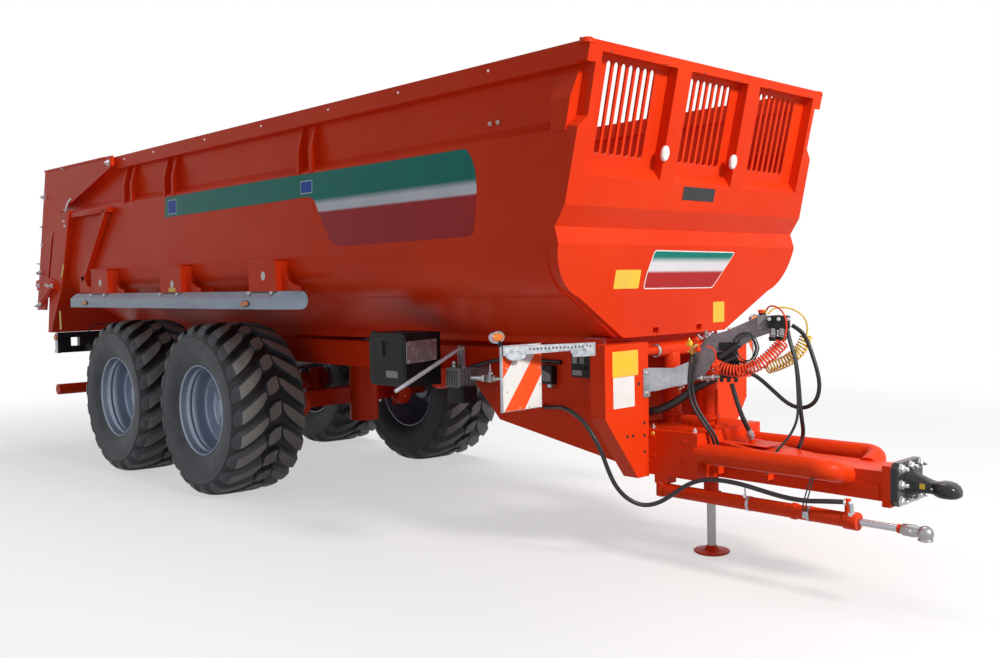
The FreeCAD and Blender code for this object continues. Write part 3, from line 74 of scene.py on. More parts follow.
def make_camera():
    """The camera, given by its place, its turn about the vertical, its dip and its roll."""
    aim = Vector((-math.cos(CAMERA_YAW) * math.cos(CAMERA_PITCH),
                  math.sin(CAMERA_YAW) * math.cos(CAMERA_PITCH), -math.sin(CAMERA_PITCH)))
    level = aim.cross(Z).normalized()
    down = aim.cross(level)
    right = math.cos(CAMERA_ROLL) * level + math.sin(CAMERA_ROLL) * down
    dip = math.cos(CAMERA_ROLL) * down - math.sin(CAMERA_ROLL) * level
    turn = Matrix((right, -dip, -aim)).transposed().to_4x4()
    lens = bpy.data.cameras.new("camera")
    lens.sensor_width = SENSOR_WIDTH
    lens.lens = CAMERA_LENS
    scene.camera = placed("camera", lens)
    scene.camera.matrix_world = Matrix.Translation(CAMERA_PLACE) @ turn


make_camera()

# ---------------------------------------------------------------- materials
WHITE_LIGHT = (1, 1, 1, 1)


def feed(tree, socket, value):
    """Links a socket to the value's socket, or sets it to the value."""
    if isinstance(value, bpy.types.NodeSocket):
        tree.links.new(value, socket)
    else:
        socket.default_value = (*value, 1) if socket.type == "RGBA" and len(value) == 3 else value


def shader_node(tree, kind, inputs, **settings):
    """A new shader node with these settings and inputs."""
    made = tree.nodes.new("ShaderNode" + kind)
    for name, value in settings.items():
        setattr(made, name, value)
    for name, value in inputs.items():
        feed(tree, made.inputs[name], value)
    return made


class Finish:
    """A node material in the making: a Principled shader, with textures in the object's own
    coordinates."""

    def __init__(self, name, rough, metal=0.0, coat=0.0, specular=0.5):
        self.material = bpy.data.materials.new(name)
        self.material.use_nodes = True
        self.tree = self.material.node_tree
        self.shader({"Roughness": rough, "Metallic": metal, "Coat Weight": coat, "Coat Roughness": 0.08,
                     "Specular IOR Level": specular})
        self.places = self.node("TexCoord").outputs["Object"]

    def shader(self, inputs):
        for name, value in inputs.items():
            feed(self.tree, self.tree.nodes["Principled BSDF"].inputs[name], value)
        return self

    def node(self, kind, inputs=None, **settings):
        return shader_node(self.tree, kind, inputs or {}, **settings)

    def noise(self, scale, detail=3.0, stretch=None):
        places = self.places
        if stretch:
            places = self.node("Mapping", {"Vector": places, "Scale": stretch}).outputs["Vector"]
        return self.node("TexNoise", {"Vector": places, "Scale": scale, "Detail": detail}).outputs["Fac"]

    def cells(self, scale):
        """A random grey for each cell of a cell pattern."""
        pattern = self.node("TexVoronoi", {"Vector": self.places, "Scale": scale})
        return self.node("SeparateColor", {"Color": pattern.outputs["Color"]}).outputs["Red"]

    def ramp(self, factor, *stops):
        """Colours by factor; stops are (place, colour) pairs."""
        made = self.node("ValToRGB", {"Fac": factor})
        while len(made.color_ramp.elements) < len(stops):
            made.color_ramp.elements.new(0.5)
        for element, (place, colour) in zip(made.color_ramp.elements, stops):
            element.position = place
            element.color = (*colour, 1)
        return made.outputs["Color"]

    def mixed(self, factor, first, second, blend="MIX"):
        """Two colours mixed; each is a socket or three numbers, and factor a socket or number."""
        made = self.node("Mix", {0: factor, 6: first, 7: second}, data_type="RGBA", blend_type=blend)
        return made.outputs[2]

    def colour(self, socket):
        return self.shader({"Base Color": socket})

    def roughness(self, factor, low, high):
        spread = self.node("MapRange", {"Value": factor, "To Min": low, "To Max": high})
        return self.shader({"Roughness": spread.outputs["Result"]})

    def bump(self, height, strength, distance):
        relief = self.node("Bump", {"Height": height, "Strength": strength, "Distance": distance})
        return self.shader({"Normal": relief.outputs["Normal"]})


def grey(share):
    return (share, share, share)


def painted(name, colour, shade, dust, rough=0.36, coat=0.04, dust_share=0.25, grain=160):
    """Sprayed paint: cloudy between two tones, dusty in patches, with a fine orange-peel skin."""
    made = Finish(name, rough, coat=coat, specular=0.1)
    cloudy = made.ramp(made.noise(0.9, 4), (0.35, shade), (0.65, colour))
    patches = made.ramp(made.noise(5.5, 6), (0.52, grey(0)), (0.8, grey(dust_share)))
    made.colour(made.mixed(patches, cloudy, dust))
    made.roughness(made.noise(4.0, 5), rough - 0.06, rough + 0.14)
    return made.bump(made.noise(grain, 2), 0.1, 0.0006).material


def galvanised(name, light, dark, rough=0.38, spangle=70):
    """Hot-dip zinc: a patchwork of crystals under a streaky dull skin."""
    made = Finish(name, rough, metal=0.75)
    crystals = made.ramp(made.cells(spangle), (0.1, dark), (0.9, light))
    streaks = made.ramp(made.noise(3.0, 5, (1, 1, 4)), (0.3, (0.72, 0.73, 0.75)), (0.7, grey(1)))
    made.colour(made.mixed(1.0, crystals, streaks, "MULTIPLY"))
    made.roughness(made.cells(spangle), rough - 0.1, rough + 0.16)
    return made.bump(made.noise(220, 2), 0.08, 0.0005).material


def brushed(name, colour, shade, rough, stretch=(6, 6, 60), metal=1.0):
    """Bare or plated metal with drawn lines along it."""
    made = Finish(name, rough, metal=metal)
    made.colour(made.ramp(made.noise(40, 4, stretch), (0.3, shade), (0.7, colour)))
    made.roughness(made.noise(90, 3, stretch), rough - 0.05, rough + 0.12)
    return made.bump(made.noise(150, 3, stretch), 0.06, 0.0004).material


def moulded(name, colour, worn, rough, grain=420, depth=0.25, specular=0.4):
    """Plastic or rubber with a fine leathery grain and a dusty bloom."""
    made = Finish(name, rough, specular=specular)
    bloom = made.ramp(made.noise(7, 6), (0.45, grey(0)), (0.78, grey(0.55)))
    made.colour(made.mixed(bloom, colour, worn))
    made.roughness(made.noise(12, 4), rough - 0.07, rough + 0.12)
    return made.bump(made.noise(grain, 3), depth, 0.0006).material


RED = painted("red_paint", (0.8, 0.05, 0.006), (0.72, 0.036, 0.005), (0.62, 0.11, 0.05), dust_share=0.09)
BLACK_PAINT = painted("black_paint", (0.026, 0.027, 0.031), (0.018, 0.018, 0.021), (0.09, 0.085, 0.08), 0.32,
                      0.5)
ZINC = galvanised("zinc", (0.56, 0.59, 0.63), (0.44, 0.47, 0.51))
FENDER_ZINC = galvanised("fender_sheet", (0.27, 0.31, 0.38), (0.22, 0.26, 0.33), 0.4, 90)
# Zinc darkened and tinted red: painted shade and a painted reflection of the red paint.
SHADED_ZINC = galvanised("zinc_with_painted_shade_and_red_reflection", (0.24, 0.2, 0.215), (0.18, 0.15, 0.16), 0.4, 60)
BOLT_ZINC = galvanised("bolt_zinc", grey(0.8), (0.62, 0.62, 0.63), 0.3, 400)
CAST_GREY = painted("grey_casting", (0.31, 0.31, 0.32), (0.24, 0.24, 0.25), (0.38, 0.36, 0.33), 0.5, 0.0,
                    0.4, 90)
RIM_SILVER = brushed("rim_silver", (0.34, 0.38, 0.47), (0.25, 0.29, 0.38), 0.3, (3, 3, 3), 0.62)
CHROME = brushed("chrome", (0.44, 0.43, 0.47), (0.34, 0.33, 0.37), 0.16)
STEEL = brushed("bare_steel", (0.36, 0.35, 0.36), (0.26, 0.25, 0.26), 0.34)
BRASS = brushed("brass", (0.72, 0.5, 0.2), (0.52, 0.34, 0.13), 0.28)
RUBBER = moulded("tyre_side", (0.036, 0.041, 0.05), (0.085, 0.09, 0.098), 0.5, 300, 0.2)
TREAD = moulded("tyre_tread", (0.225, 0.22, 0.208), (0.36, 0.35, 0.33), 0.6, 190, 0.5, 0.3)
# Near-black rubber, darker than the sidewall rubber: painted shade for the floor between the tyre's lugs and
# for holes and recesses.
SHADE_BLACK = moulded("painted_shade_black", (0.012, 0.013, 0.015), (0.04, 0.038, 0.036), 0.6, 240, 0.4)
HOSE = moulded("hose_rubber", (0.014, 0.015, 0.017), grey(0.045), 0.4, 520, 0.18)
PLASTIC = moulded("black_plastic", (0.01, 0.01, 0.012), (0.034, 0.033, 0.032), 0.42, 640, 0.2, 0.2)
RED_LINE = moulded("red_line", (0.84, 0.055, 0.01), (0.74, 0.1, 0.04), 0.28, 500, 0.05, 0.25)
YELLOW_LINE = moulded("yellow_line", (0.88, 0.6, 0.045), (0.74, 0.52, 0.1), 0.3, 500, 0.05, 0.3)
WHITE = moulded("white_film", (0.82, 0.82, 0.81), (0.62, 0.61, 0.58), 0.34, 300, 0.04, 0.5)
PALE_LABEL = moulded("pale_label", (0.34, 0.34, 0.35), grey(0.26), 0.4, 300, 0.04, 0.3)
YELLOW = moulded("yellow_film", (0.86, 0.56, 0.035), (0.66, 0.46, 0.14), 0.36, 300, 0.04, 0.5)
BLUE = moulded("blue_film", (0.02, 0.095, 0.42), (0.04, 0.12, 0.38), 0.4, 300, 0.04, 0.12)
BOARD_RED = moulded("board_red", (0.95, 0.085, 0.012), (0.84, 0.14, 0.04), 0.34, 900, 0.12, 0.3)
AMBER = moulded("amber_lens", (0.78, 0.2, 0.012), (0.56, 0.16, 0.03), 0.2, 260, 0.3, 0.6)
LENS_RED = moulded("red_lens", (0.42, 0.012, 0.01), (0.28, 0.03, 0.02), 0.18, 260, 0.3, 0.6)

SLOT_FINISH = {
    "tyre_rubber": RUBBER, "rim_silver": RIM_SILVER, "black_steel": BLACK_PAINT, "red_paint": RED,
    "zinc_steel": ZINC, "grey_steel": CAST_GREY, "chrome_rod": CHROME, "lamp_red": LENS_RED,
    "black_plastic": PLASTIC, "hose_black": HOSE, "air_red": RED_LINE, "air_yellow": YELLOW_LINE,
    "marker_white": WHITE,
}
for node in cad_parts.values():
    for place in node.material_slots:
        place.material = SLOT_FINISH[place.material.name.split(".")[0]]

# ---------------------------------------------------------------- cords


def line_of(points, name):
    """A curve object: one smooth open line with these control points."""
    curve = bpy.data.curves.new(name, "CURVE")
    curve.dimensions = "3D"
    curve.resolution_u = 8
    line = curve.splines.new("NURBS")
    line.points.add(len(points) - 1)
    for place, point in zip(line.points, points):
        place.co = (*point, 1)
    line.order_u = 3
    line.use_endpoint_u = True
    return placed(name, curve)


def make_cord(node, route, length, diameter, finish=HOSE, sides=4,
              steps=8):
    """A cord along its route of control points, standing for the CAD node of that name."""
    cord = line_of(route, node + "_line")
    cord.data.resolution_u = steps
    cord.data.bevel_depth = diameter / 2
    cord.data.bevel_resolution = sides
    cord.data.use_fill_caps = True
    cord.data.materials.append(finish)
    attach(cord, "chassis")
    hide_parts(node)


make_cord("hose_steering", mm(
    "2080 -479 812, 2190 -520 822, 2300 -590 842, 2402 -665 852, 2510 -712 840, 2602 -722 796, "
    "2662 -712 718, 2690 -682 630, 2703 -650 535, 2718 -606 442, 2744 -540 368, 2800 -478 330, "
    "2869 -430 348, 2935 -390 400, 3006 -360 458, 3096 -345 494, 3205 -340 503, 3331 -338 497, "
    "3452 -336 478, 3570 -336 463, 3684 -335 462, 3780 -328 475, 3865 -311 481"), 2.3, 0.024)
PAIR_ROUTE = mm(
    "2969 -243 1143, 2955 -248 1050, 2952 -250 950, 2975 -247 860, 3028 -238 785, 3072 -210 708, "
    "3079 -183 626, 3077 -180 542")
PAIR_OFFSET = 0.007
for node, side in (("hose_pair_right", -PAIR_OFFSET), ("hose_pair_left", PAIR_OFFSET)):
    make_cord(node, [(x + side, y + side, z) for x, y, z in PAIR_ROUTE], 0.635, 0.016)
make_cord("hose_bundle", mm("2552 -262 800, 2700 -258 802, 2830 -210 868, 2935 -160 962, 3031 -117 1010"),
          0.56, 0.046)
make_cord("hose_cross", mm(
    "3116 -102 981, 3134 -96 915, 3152 -82 840, 3167 -58 770, 3179 -28 718, 3184 -13 681"), 0.33, 0.026)
make_cord("hose_loop", mm(
    "3141 -52 1050, 3177 -33 1043, 3222 -6 1012, 3266 16 968, 3312 29 925, 3362 36 884, 3416 40 861, "
    "3474 42 862, 3524 42 892, 3549 41 944, 3553 40 1002, 3541 39 1062, 3522 39 1120, 3500 43 1176, "
    "3472 52 1226, 3434 63 1268, 3391 51 1294"), 0.93, 0.022)
make_cord("hose_drop_thick", mm(
    "3384 16 1272, 3398 13 1215, 3428 8 1145, 3446 5 1065, 3456 4 975, 3461 5 890, 3466 12 810, "
    "3458 44 744, 3426 92 694, 3386 146 656, 3345 172 600, 3331 165 534"), 0.82, 0.022)
make_cord("hose_drop_thin", mm(
    "3395 -6 1272, 3407 -8 1215, 3436 -13 1145, 3452 -16 1065, 3460 -18 975, 3464 -20 890, 3464 -26 810, "
    "3447 -52 742, 3428 -98 690, 3402 -138 645, 3375 -160 592, 3366 -165 531"), 0.8, 0.014)


def followed(route, name):
    """Points along the smooth line that a route's control points give, close together."""
    guide = line_of(route, name + "_guide")
    points = [vertex.co.copy() for vertex in bpy.data.meshes.new_from_object(guide).vertices]
    bpy.data.objects.remove(guide)
    return points


def length_of(points):
    return sum((b - a).length for a, b in zip(points, points[1:]))


def frames_along(points):
    """Each point of a line with two axes square to the line there, without twist."""
    across = Z
    found = []
    for index, point in enumerate(points):
        ahead = points[min(index + 1, len(points) - 1)] - points[max(index - 1, 0)]
        ahead.normalize()
        across = (across - across.dot(ahead) * ahead).normalized()
        found.append((point, across, ahead.cross(across)))
    return found


def even_steps(points, count):
    """The same line in an even number of steps."""
    spans = [(b - a).length for a, b in zip(points, points[1:])]
    total = sum(spans)
    made, index, passed = [], 0, 0.0
    for step in range(count + 1):
        target = min(total * step / count, total - 1e-9)
        while passed + spans[index] < target:
            passed += spans[index]
            index += 1
        made.append(points[index].lerp(points[index + 1], (target - passed) / spans[index]))
    return made


COIL_DIAMETER, AIR_LINE_DIAMETER, COIL_POINTS_PER_TURN, COIL_LEAD = 0.076, 0.009, 12, 8


def spiral_line(node, start, coil, end, turns, finish):
    """A spiral air line: straight lead, a stretched coil of turns and a lead back to the holder."""
    radius = (COIL_DIAMETER - AIR_LINE_DIAMETER) / 2 - 0.002
    axis = frames_along(even_steps(followed(mm(coil), node), turns * COIL_POINTS_PER_TURN))
    helix = []
    for index, (point, across, beside) in enumerate(axis):
        angle = math.tau * index / COIL_POINTS_PER_TURN
        swing = radius * min(1.0, index / COIL_LEAD + 0.25, (len(axis) - 1 - index) / COIL_LEAD + 0.25)
        helix.append(point + swing * (math.cos(angle) * across + math.sin(angle) * beside))
    route = mm(start) + helix + mm(end)
    make_cord(node, route, length_of(followed(route, node)), AIR_LINE_DIAMETER, finish, 3, 3)


spiral_line("air_line_red", "3038 -217 1188, 3068 -202 1181, 3081 -196 1145, 3074 -188 1094",
            "3072 -186 1086, 3118 -172 1060, 3195 -146 1052, 3283 -116 1085, 3360 -90 1151, 3415 -78 1215",
            "3418 -77 1220, 3430 -71 1278, 3422 -62 1336, 3385 -48 1382, 3330 -33 1402, 3285 -22 1392, "
            "3270 -17 1352", 24, RED_LINE)
spiral_line("air_line_yellow", "3170 10 1100, 3178 34 1074, 3196 56 1060, 3225 69 1058",
            "3227 70 1058, 3319 82 1086, 3388 94 1136, 3430 106 1190, 3441 114 1241",
            "3442 114 1242, 3449 112 1295, 3430 100 1345, 3385 76 1380, 3330 45 1392, 3288 18 1380, "
            "3276 4 1353", 17, YELLOW_LINE)

# ---------------------------------------------------------------- piece making


def put_on(thing, body, slot, replaces=()):
    """Lets a piece ride on its body and hides the CAD nodes that it stands for; slot is not used."""
    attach(thing, body)
    if replaces:
        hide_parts(*replaces)


class Piece:
    """One object in the making. Within its with-block solids are added, each with its material,
    and at the end of the block it is put on its body."""

    def __init__(self, name, *where):
        self.name = name
        self.where = where
        self.mesh = bmesh.new()
        self.materials = []

    def __enter__(self):
        return self

    def __exit__(self, error, *rest):
        if error is None:
            put_on(placed(self.name, self.as_mesh()), *self.where)

    def as_mesh(self, sharp=32):
        """The solids as one mesh, its faces in the order of their points, shaded smooth up to the
        angle sharp."""
        count = len(self.mesh.verts)

        def rank(face):
            first, second, third = sorted(vertex.index for vertex in face.verts)[:3]
            return (first * count + second) * count + third

        bmesh.ops.recalc_face_normals(self.mesh, faces=self.mesh.faces[:])
        self.mesh.verts.index_update()
        self.mesh.faces.sort(key=rank)
        mesh = bpy.data.meshes.new(self.name)
        self.mesh.to_mesh(mesh)
        self.mesh.free()
        for material in self.materials:
            mesh.materials.append(material)
        mesh.polygons.foreach_set("use_smooth", [True] * len(mesh.polygons))
        mesh.set_sharp_from_angle(angle=math.radians(sharp))
        return mesh

    def index_of(self, material):
        if material not in self.materials:
            self.materials.append(material)
        return self.materials.index(material)

    def faces(self, points, faces, material):
        """Adds a surface: points, and faces as lists of point numbers."""
        slot = self.index_of(material)
        made = [self.mesh.verts.new(point) for point in points]
        for face in faces:
            self.mesh.faces.new([made[i] for i in face]).material_index = slot

    def loft(self, rings, material):
        """A closed solid through rings that all have the same number of points."""
        sides = len(rings[0])
        last = (len(rings) - 1) * sides
        ends = [list(range(sides))[::-1], [last + i for i in range(sides)]]
        self.faces([point for ring in rings for point in ring], ends + bands(sides, len(rings)), material)

    def slab(self, outline, place, across, upward, thick, material, lip=0.0):
        """A flat plate: outline is (a, b) points along across and upward from place, and the plate
        grows by thick along their cross product. lip is the width of its chamfered front edge."""
        outline = mm(outline)
        place, across, upward = spot(place), Vector(across).normalized(), Vector(upward).normalized()
        if sum(a[0] * b[1] - b[0] * a[1] for a, b in zip(outline, outline[1:] + outline[:1])) < 0:
            outline = outline[::-1]
        rings = [(outline, 0.0), (outline, thick - lip)] + ([(shrunk(outline, lip), thick)] if lip else [])
        self.loft([[place + a * across + b * upward + height * across.cross(upward) for a, b in ring]
                   for ring, height in rings], material)

    def side(self, outline, y, thick, material, lip=0.0):
        """A plate of (x, z) points that grows to the right from y."""
        self.slab(outline, (0, y, 0), X, Z, thick, material, lip)

    def front(self, outline, x, thick, material, lip=0.0):
        """A plate of (y, z) points that grows forwards from x."""
        self.slab(outline, (x, 0, 0), Y, Z, thick, material, lip)

    def top(self, outline, z, thick, material, lip=0.0):
        """A plate of (x, y) points that grows upwards from z."""
        self.slab(outline, (0, 0, z), X, Y, thick, material, lip)

    def block(self, low, high, material, lip=0.002):
        """A box between two corners, with all its edges broken."""
        low, high = spot(low), spot(high)
        size = high - low
        lip = min(lip, *(0.4 * s for s in size))
        made = bmesh.ops.create_cube(self.mesh, size=1.0)["verts"]
        for vertex in made:
            vertex.co = Vector([low[i] + (vertex.co[i] + 0.5) * size[i] for i in range(3)])
        slot = self.index_of(material)
        for vertex in made:
            for face in vertex.link_faces:
                face.material_index = slot
        edges = list(dict.fromkeys(edge for vertex in made for edge in vertex.link_edges))
        bmesh.ops.bevel(self.mesh, geom=edges, offset=lip, segments=2, affect="EDGES", profile=0.6)

    def turned(self, profile, place, axis, material, steps=32):
        """A turned solid: profile is (along, radius) points along axis from place."""
        place, axis = spot(place), Vector(axis).normalized()
        first = Vector((0.3, 0.5, 0.8))
        first = (first - first.dot(axis) * axis).normalized()
        second = axis.cross(first)
        points, rows = [], []
        for along, radius in mm(profile):
            centre = place + along * axis
            if radius < 1e-6:
                rows.append([len(points)] * steps)
                points.append(centre)
                continue
            rows.append(list(range(len(points), len(points) + steps)))
            for step in range(steps):
                angle = math.tau * step / steps
                points.append(centre + radius * (math.cos(angle) * first + math.sin(angle) * second))
        faces = []
        for low, high in zip(rows, rows[1:]):
            for step in range(steps):
                face = [low[step], low[(step + 1) % steps], high[(step + 1) % steps], high[step]]
                faces.append([i for n, i in enumerate(face) if i not in face[:n]])
        self.faces(points, faces, material)

    def bar(self, start, end, radius, material, steps=20, lip=None):
        """A round bar between two points, with broken edges."""
        start, end = spot(start), spot(end)
        length = (end - start).length
        lip = min(0.15 * radius, 0.003) if lip is None else lip
        self.turned([(0, 0), (0, radius - lip), (lip, radius), (length - lip, radius), (length, radius - lip),
                     (length, 0)], start, end - start, material, steps)

    def nut(self, place, axis, width, stud=0.5, material=BOLT_ZINC, washer=True):
        """A hexagon nut on its washer with the stud's end showing; width is across its corners."""
        radius, height, axis = width / 2, 0.42 * width, Vector(axis).normalized()
        if washer:
            self.turned([(0, 0), (0, radius * 1.22), (0.05 * width, radius * 1.22), (0.06 * width, 0)],
                        place, axis, material, 20)
        self.turned([(0.05 * width, 0), (0.05 * width, radius), (height * 0.86, radius),
                     (height, radius * 0.86), (height, 0)], place, axis, material, 6)
        if stud:
            low, end = height * 0.9, height + stud * radius
            tip = end + 0.06 * width
            self.turned([(low, 0), (low, radius * 0.5), (end, radius * 0.5), (tip, radius * 0.4), (tip, 0)],
                        place, axis, material, 12)

    def nuts(self, places, *how, **more):
        """The same nut at each of the places."""
        for place in mm(places):
            self.nut(place, *how, **more)

    def pipe(self, route, radius, material, sides=12):
        """A rigid pipe or bent bar along a smooth line through a route's control points."""
        turns = [math.tau * i / sides for i in range(sides)]
        self.loft([[point + radius * (math.cos(turn) * a + math.sin(turn) * b) for turn in turns]
                   for point, a, b in frames_along(followed(mm(route), self.name))], material)

    def mirror(self):
        """Adds the same solids on the other side of the trailer."""
        solids = self.mesh.faces[:] + self.mesh.edges[:] + self.mesh.verts[:]
        twin = bmesh.ops.duplicate(self.mesh, geom=solids)["geom"]
        for item in twin:
            if isinstance(item, bmesh.types.BMVert):
                item.co.y = -item.co.y
        bmesh.ops.reverse_faces(self.mesh, faces=[f for f in twin if isinstance(f, bmesh.types.BMFace)])


def bands(sides, rings):
    """The faces between rings that all have the same number of points."""
    return [[start + i, start + (i + 1) % sides, start + sides + (i + 1) % sides, start + sides + i]
            for start in range(0, (rings - 1) * sides, sides) for i in range(sides)]


def shrunk(outline, by):
    """A closed outline, anticlockwise, moved inwards by a small distance."""
    moved = []
    for index, point in enumerate(outline):
        before, after = Vector(outline[index - 1]), Vector(outline[(index + 1) % len(outline)])
        here = Vector(point)
        a, b = (here - before).normalized(), (after - here).normalized()
        inward = Vector((-a.y - b.y, a.x + b.x))
        if inward.length < 1e-9:
            inward = Vector((-a.y, a.x))
        inward.normalize()
        moved.append(tuple(here + inward * (by / max(0.4, inward.dot(Vector((-a.y, a.x)))))))
    return moved


def rounded(outline, radius, steps=5):
    """A closed outline with its corners rounded."""
    outline = mm(outline)
    made = []
    for index, point in enumerate(outline):
        here = Vector(point)
        before, after = Vector(outline[index - 1]) - here, Vector(outline[(index + 1) % len(outline)]) - here
        reach = min(radius, 0.45 * before.length, 0.45 * after.length)
        a, b = here + before.normalized() * reach, here + after.normalized() * reach
        for step in range(steps + 1):
            t = step / steps
            made.append(tuple(a * (1 - t) ** 2 + here * 2 * t * (1 - t) + b * t ** 2))
    return made


def oblong(corners, radius=0, steps=5):
    """A rectangle's outline between two corners, which can be rounded."""
    (left, low), (right, high) = mm(corners)
    outline = [(left, low), (right, low), (right, high), (left, high)]
    return rounded(outline, radius, steps) if radius else outline


RIVET = mm("0 0, 0 6, 3 5, 4 0")
LABEL_THICK = 0.0008


def oval(place, half_wide, half_high, steps=32):
    """An ellipse's outline around place."""
    turns = [math.tau * i / steps for i in range(steps)]
    return [(place[0] + half_wide * math.cos(turn), place[1] + half_high * math.sin(turn)) for turn in turns]


# ---------------------------------------------------------------- tyres and rims
TYRE_RADIUS, TYRE_STEPS = 0.645, 132
LUG_PITCHES, LUG_DEPTH = 22, 0.038
TYRE_SIDE = mm("246 330, 253 346, 267 372, 281 408, 289 450, 293 495, 294 527, 296.5 531, 296.5 535, "
               "293.5 539")
TYRE_CROWN = mm("290 553, 282 570, 268 584, 248 592, 220 597, 180 601, 140 603.5, 100 605.5, 60 606.6, 0 607")
LUG_RISE = [0.0, 0.008, 0.021, 0.031, 0.036, 0.038, 0.038, 0.038, 0.038, 0.038]
LUG_SWEEP = [-0.03, -0.028, -0.022, -0.008, 0.012, 0.042, 0.074, 0.108, 0.146]
LUG_HALF_WIDTH = [0.04, 0.047, 0.052, 0.054, 0.054, 0.052, 0.05, 0.046, 0.028]


def tyre_point(side, across, radius, along):
    """A point of the tyre: across from its middle plane, radius, and along its tread."""
    angle = along / TYRE_RADIUS
    return Vector((radius * math.cos(angle), side * across, radius * math.sin(angle)))


def add_lug(piece, side, start):
    """One long lug from the shoulder to near the middle, steep behind and sloped ahead."""
    rows = []
    for (across, radius), rise, sweep, half in zip(TYRE_CROWN, LUG_RISE, LUG_SWEEP, LUG_HALF_WIDTH):
        lean = min(1.0, max(0.0, (radius - 0.553) / 0.05))
        out = Vector((1 - lean, 0.25 + lean)).normalized()
        section = [(-half - 0.007, -0.004), (-half - 0.001, rise - 0.006), (-half + 0.006, rise),
                   (0.0, rise + 0.0004), (half - 0.008, rise), (half, rise - 0.005), (half + 0.034, -0.004)]
        rows.append([tyre_point(side, across + out.x * h, radius + out.y * h, start + sweep + c)
                     for c, h in section])
    across, radius = TYRE_CROWN[8]
    rows.append([tyre_point(side, across - 0.008, radius - 0.004, start + LUG_SWEEP[8] + 0.008 + c)
                 for c in (-0.035, -0.027, -0.02, 0.0, 0.02, 0.028, 0.06)])
    width = len(rows[0])
    top, flank = [], []
    for row in range(len(rows) - 1):
        for column in range(width - 1):
            corner = row * width + column
            face = [corner, corner + 1, corner + width + 1, corner + width]
            if side > 0:
                face.reverse()
            crown = 2 <= column <= 3 and 3 <= row < len(rows) - 2
            (top if crown else flank).append(face)
    for faces, finish in ((flank, RUBBER), (top, TREAD)):
        piece.faces([point for row in rows for point in row], faces, finish)


CENTRE_BLOCK = mm("50 -22, 52 74, 2 62, -50 22, -52 -74, -2 -62")


def add_centre_block(piece, start):
    """One zigzag block on the tyre's middle."""
    outline = rounded(CENTRE_BLOCK, 0.01, 2)
    inner = [(a * 0.93, c * 0.955) for a, c in outline]
    rings = [([(a * 1.06, c * 1.06) for a, c in outline], TYRE_RADIUS - LUG_DEPTH - 0.003),
             (outline, TYRE_RADIUS - 0.0065), (inner, TYRE_RADIUS - 0.0005)]
    points = [tyre_point(1, a, r, start + c) for ring, r in rings for a, c in ring]
    count = len(outline)
    piece.faces(points, bands(count, 3), RUBBER)
    piece.faces(points[2 * count:], [list(range(count))], TREAD)


def make_tyre_mesh():
    """A tyre on the Y axis: carcass, lugs both sides and the middle row."""
    piece = Piece("tyre")
    half = TYRE_SIDE + TYRE_CROWN
    profile = half + [(-a, r) for a, r in half[-2::-1]]
    wall = len(TYRE_SIDE)
    # The carcass between the shoulders, the floor between the lugs, is in painted shade black, darker than
    # the sidewall rubber.
    for part, finish in ((profile[:wall], RUBBER), (profile[wall - 1:1 - wall], SHADE_BLACK),
                         (profile[-wall:], RUBBER)):
        piece.turned(part, "0 0 0", Y, finish, TYRE_STEPS)
    pitch = math.tau * TYRE_RADIUS / LUG_PITCHES
    for number in range(LUG_PITCHES):
        add_lug(piece, -1, number * pitch)
        add_lug(piece, 1, (number + 0.5) * pitch)
        add_centre_block(piece, (number + 0.62) * pitch + 0.09)
    bmesh.ops.remove_doubles(piece.mesh, verts=piece.mesh.verts[:], dist=0.0002)
    return piece.as_mesh(28)


RIM_FACE = mm(
    "236 336.5, 250 337, 255 334, 255 329, 250 325, 240 322.5, 208 319, 198 315, 190 306, 182 303, "
    "174 303.5, 169 307.5, 163 307.5, 156 302, 120 296, 80 291, 64 289, 56 283, 53 272, 50 220, 49 190, "
    "53 183, 53 176, 44 168, 6 156, -2 148, -4 100")
RIM_BACK = mm(
    "-4 100, -14 100, -14 152, 33 176, 38 270, 44 284, 30 290, -100 296, -160 302, -190 306, -200 316, "
    "-240 322.5, -255 329, -255 335, -240 337")
RIM_OUTSIDE = mm("-240 337, -220 327, -100 306, 150 314, 220 327, 236 336.5")
STUDS, STUD_CIRCLE = 10, 0.128
HUB = mm("-95 0, -95 104, -20 108, -6 102, 0 90, 50 82, 58 76, 82 72, 92 62, 95 30, 95 0")


def add_rim(piece, centre, out):
    """A deep dished steel rim with its nuts and hub cap; out is 1 or -1, the side it faces."""
    for profile, steps in ((RIM_FACE, 128), (RIM_BACK, 96), (RIM_OUTSIDE, 96), (HUB, 48)):
        piece.turned(profile, centre, (0, out, 0), RIM_SILVER, steps)
    for number in range(STUDS):
        angle = math.tau * (number + 0.5) / STUDS
        place = centre + Vector((STUD_CIRCLE * math.cos(angle), -0.003 * out, STUD_CIRCLE * math.sin(angle)))
        piece.nut(place, (0, out, 0), 0.034)
    piece.bar(centre + Vector((0.25, 0.052 * out, 0.03)), centre + Vector((0.262, 0.11 * out, 0.032)), 0.006,
              BRASS, 10)


TYRE_MESH = make_tyre_mesh()
for corner in ("front_right", "front_left", "rear_right", "rear_left"):
    low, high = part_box("tyre_" + corner)
    middle = (low + high) / 2
    tyre = placed("tread_" + corner, TYRE_MESH)
    tyre.location = middle
    put_on(tyre, "wheel_" + corner, "tyre_rubber", ["tyre_" + corner])
    with Piece("wheel_" + corner, "wheel_" + corner, "rim_silver", ["rim_" + corner]) as piece:
        add_rim(piece, middle, -1 if "right" in corner else 1)

# ---------------------------------------------------------------- side and front films
WALL_LOW, WALL_HIGH = mm("-1115 1760, -1100 2290")
FILM_RISE = 0.0012
GREEN_TONE, WHITE_TONE, CRIMSON_TONE = (0.001, 0.2, 0.16), (0.74, 0.74, 0.8), (0.44, 0.02, 0.024)


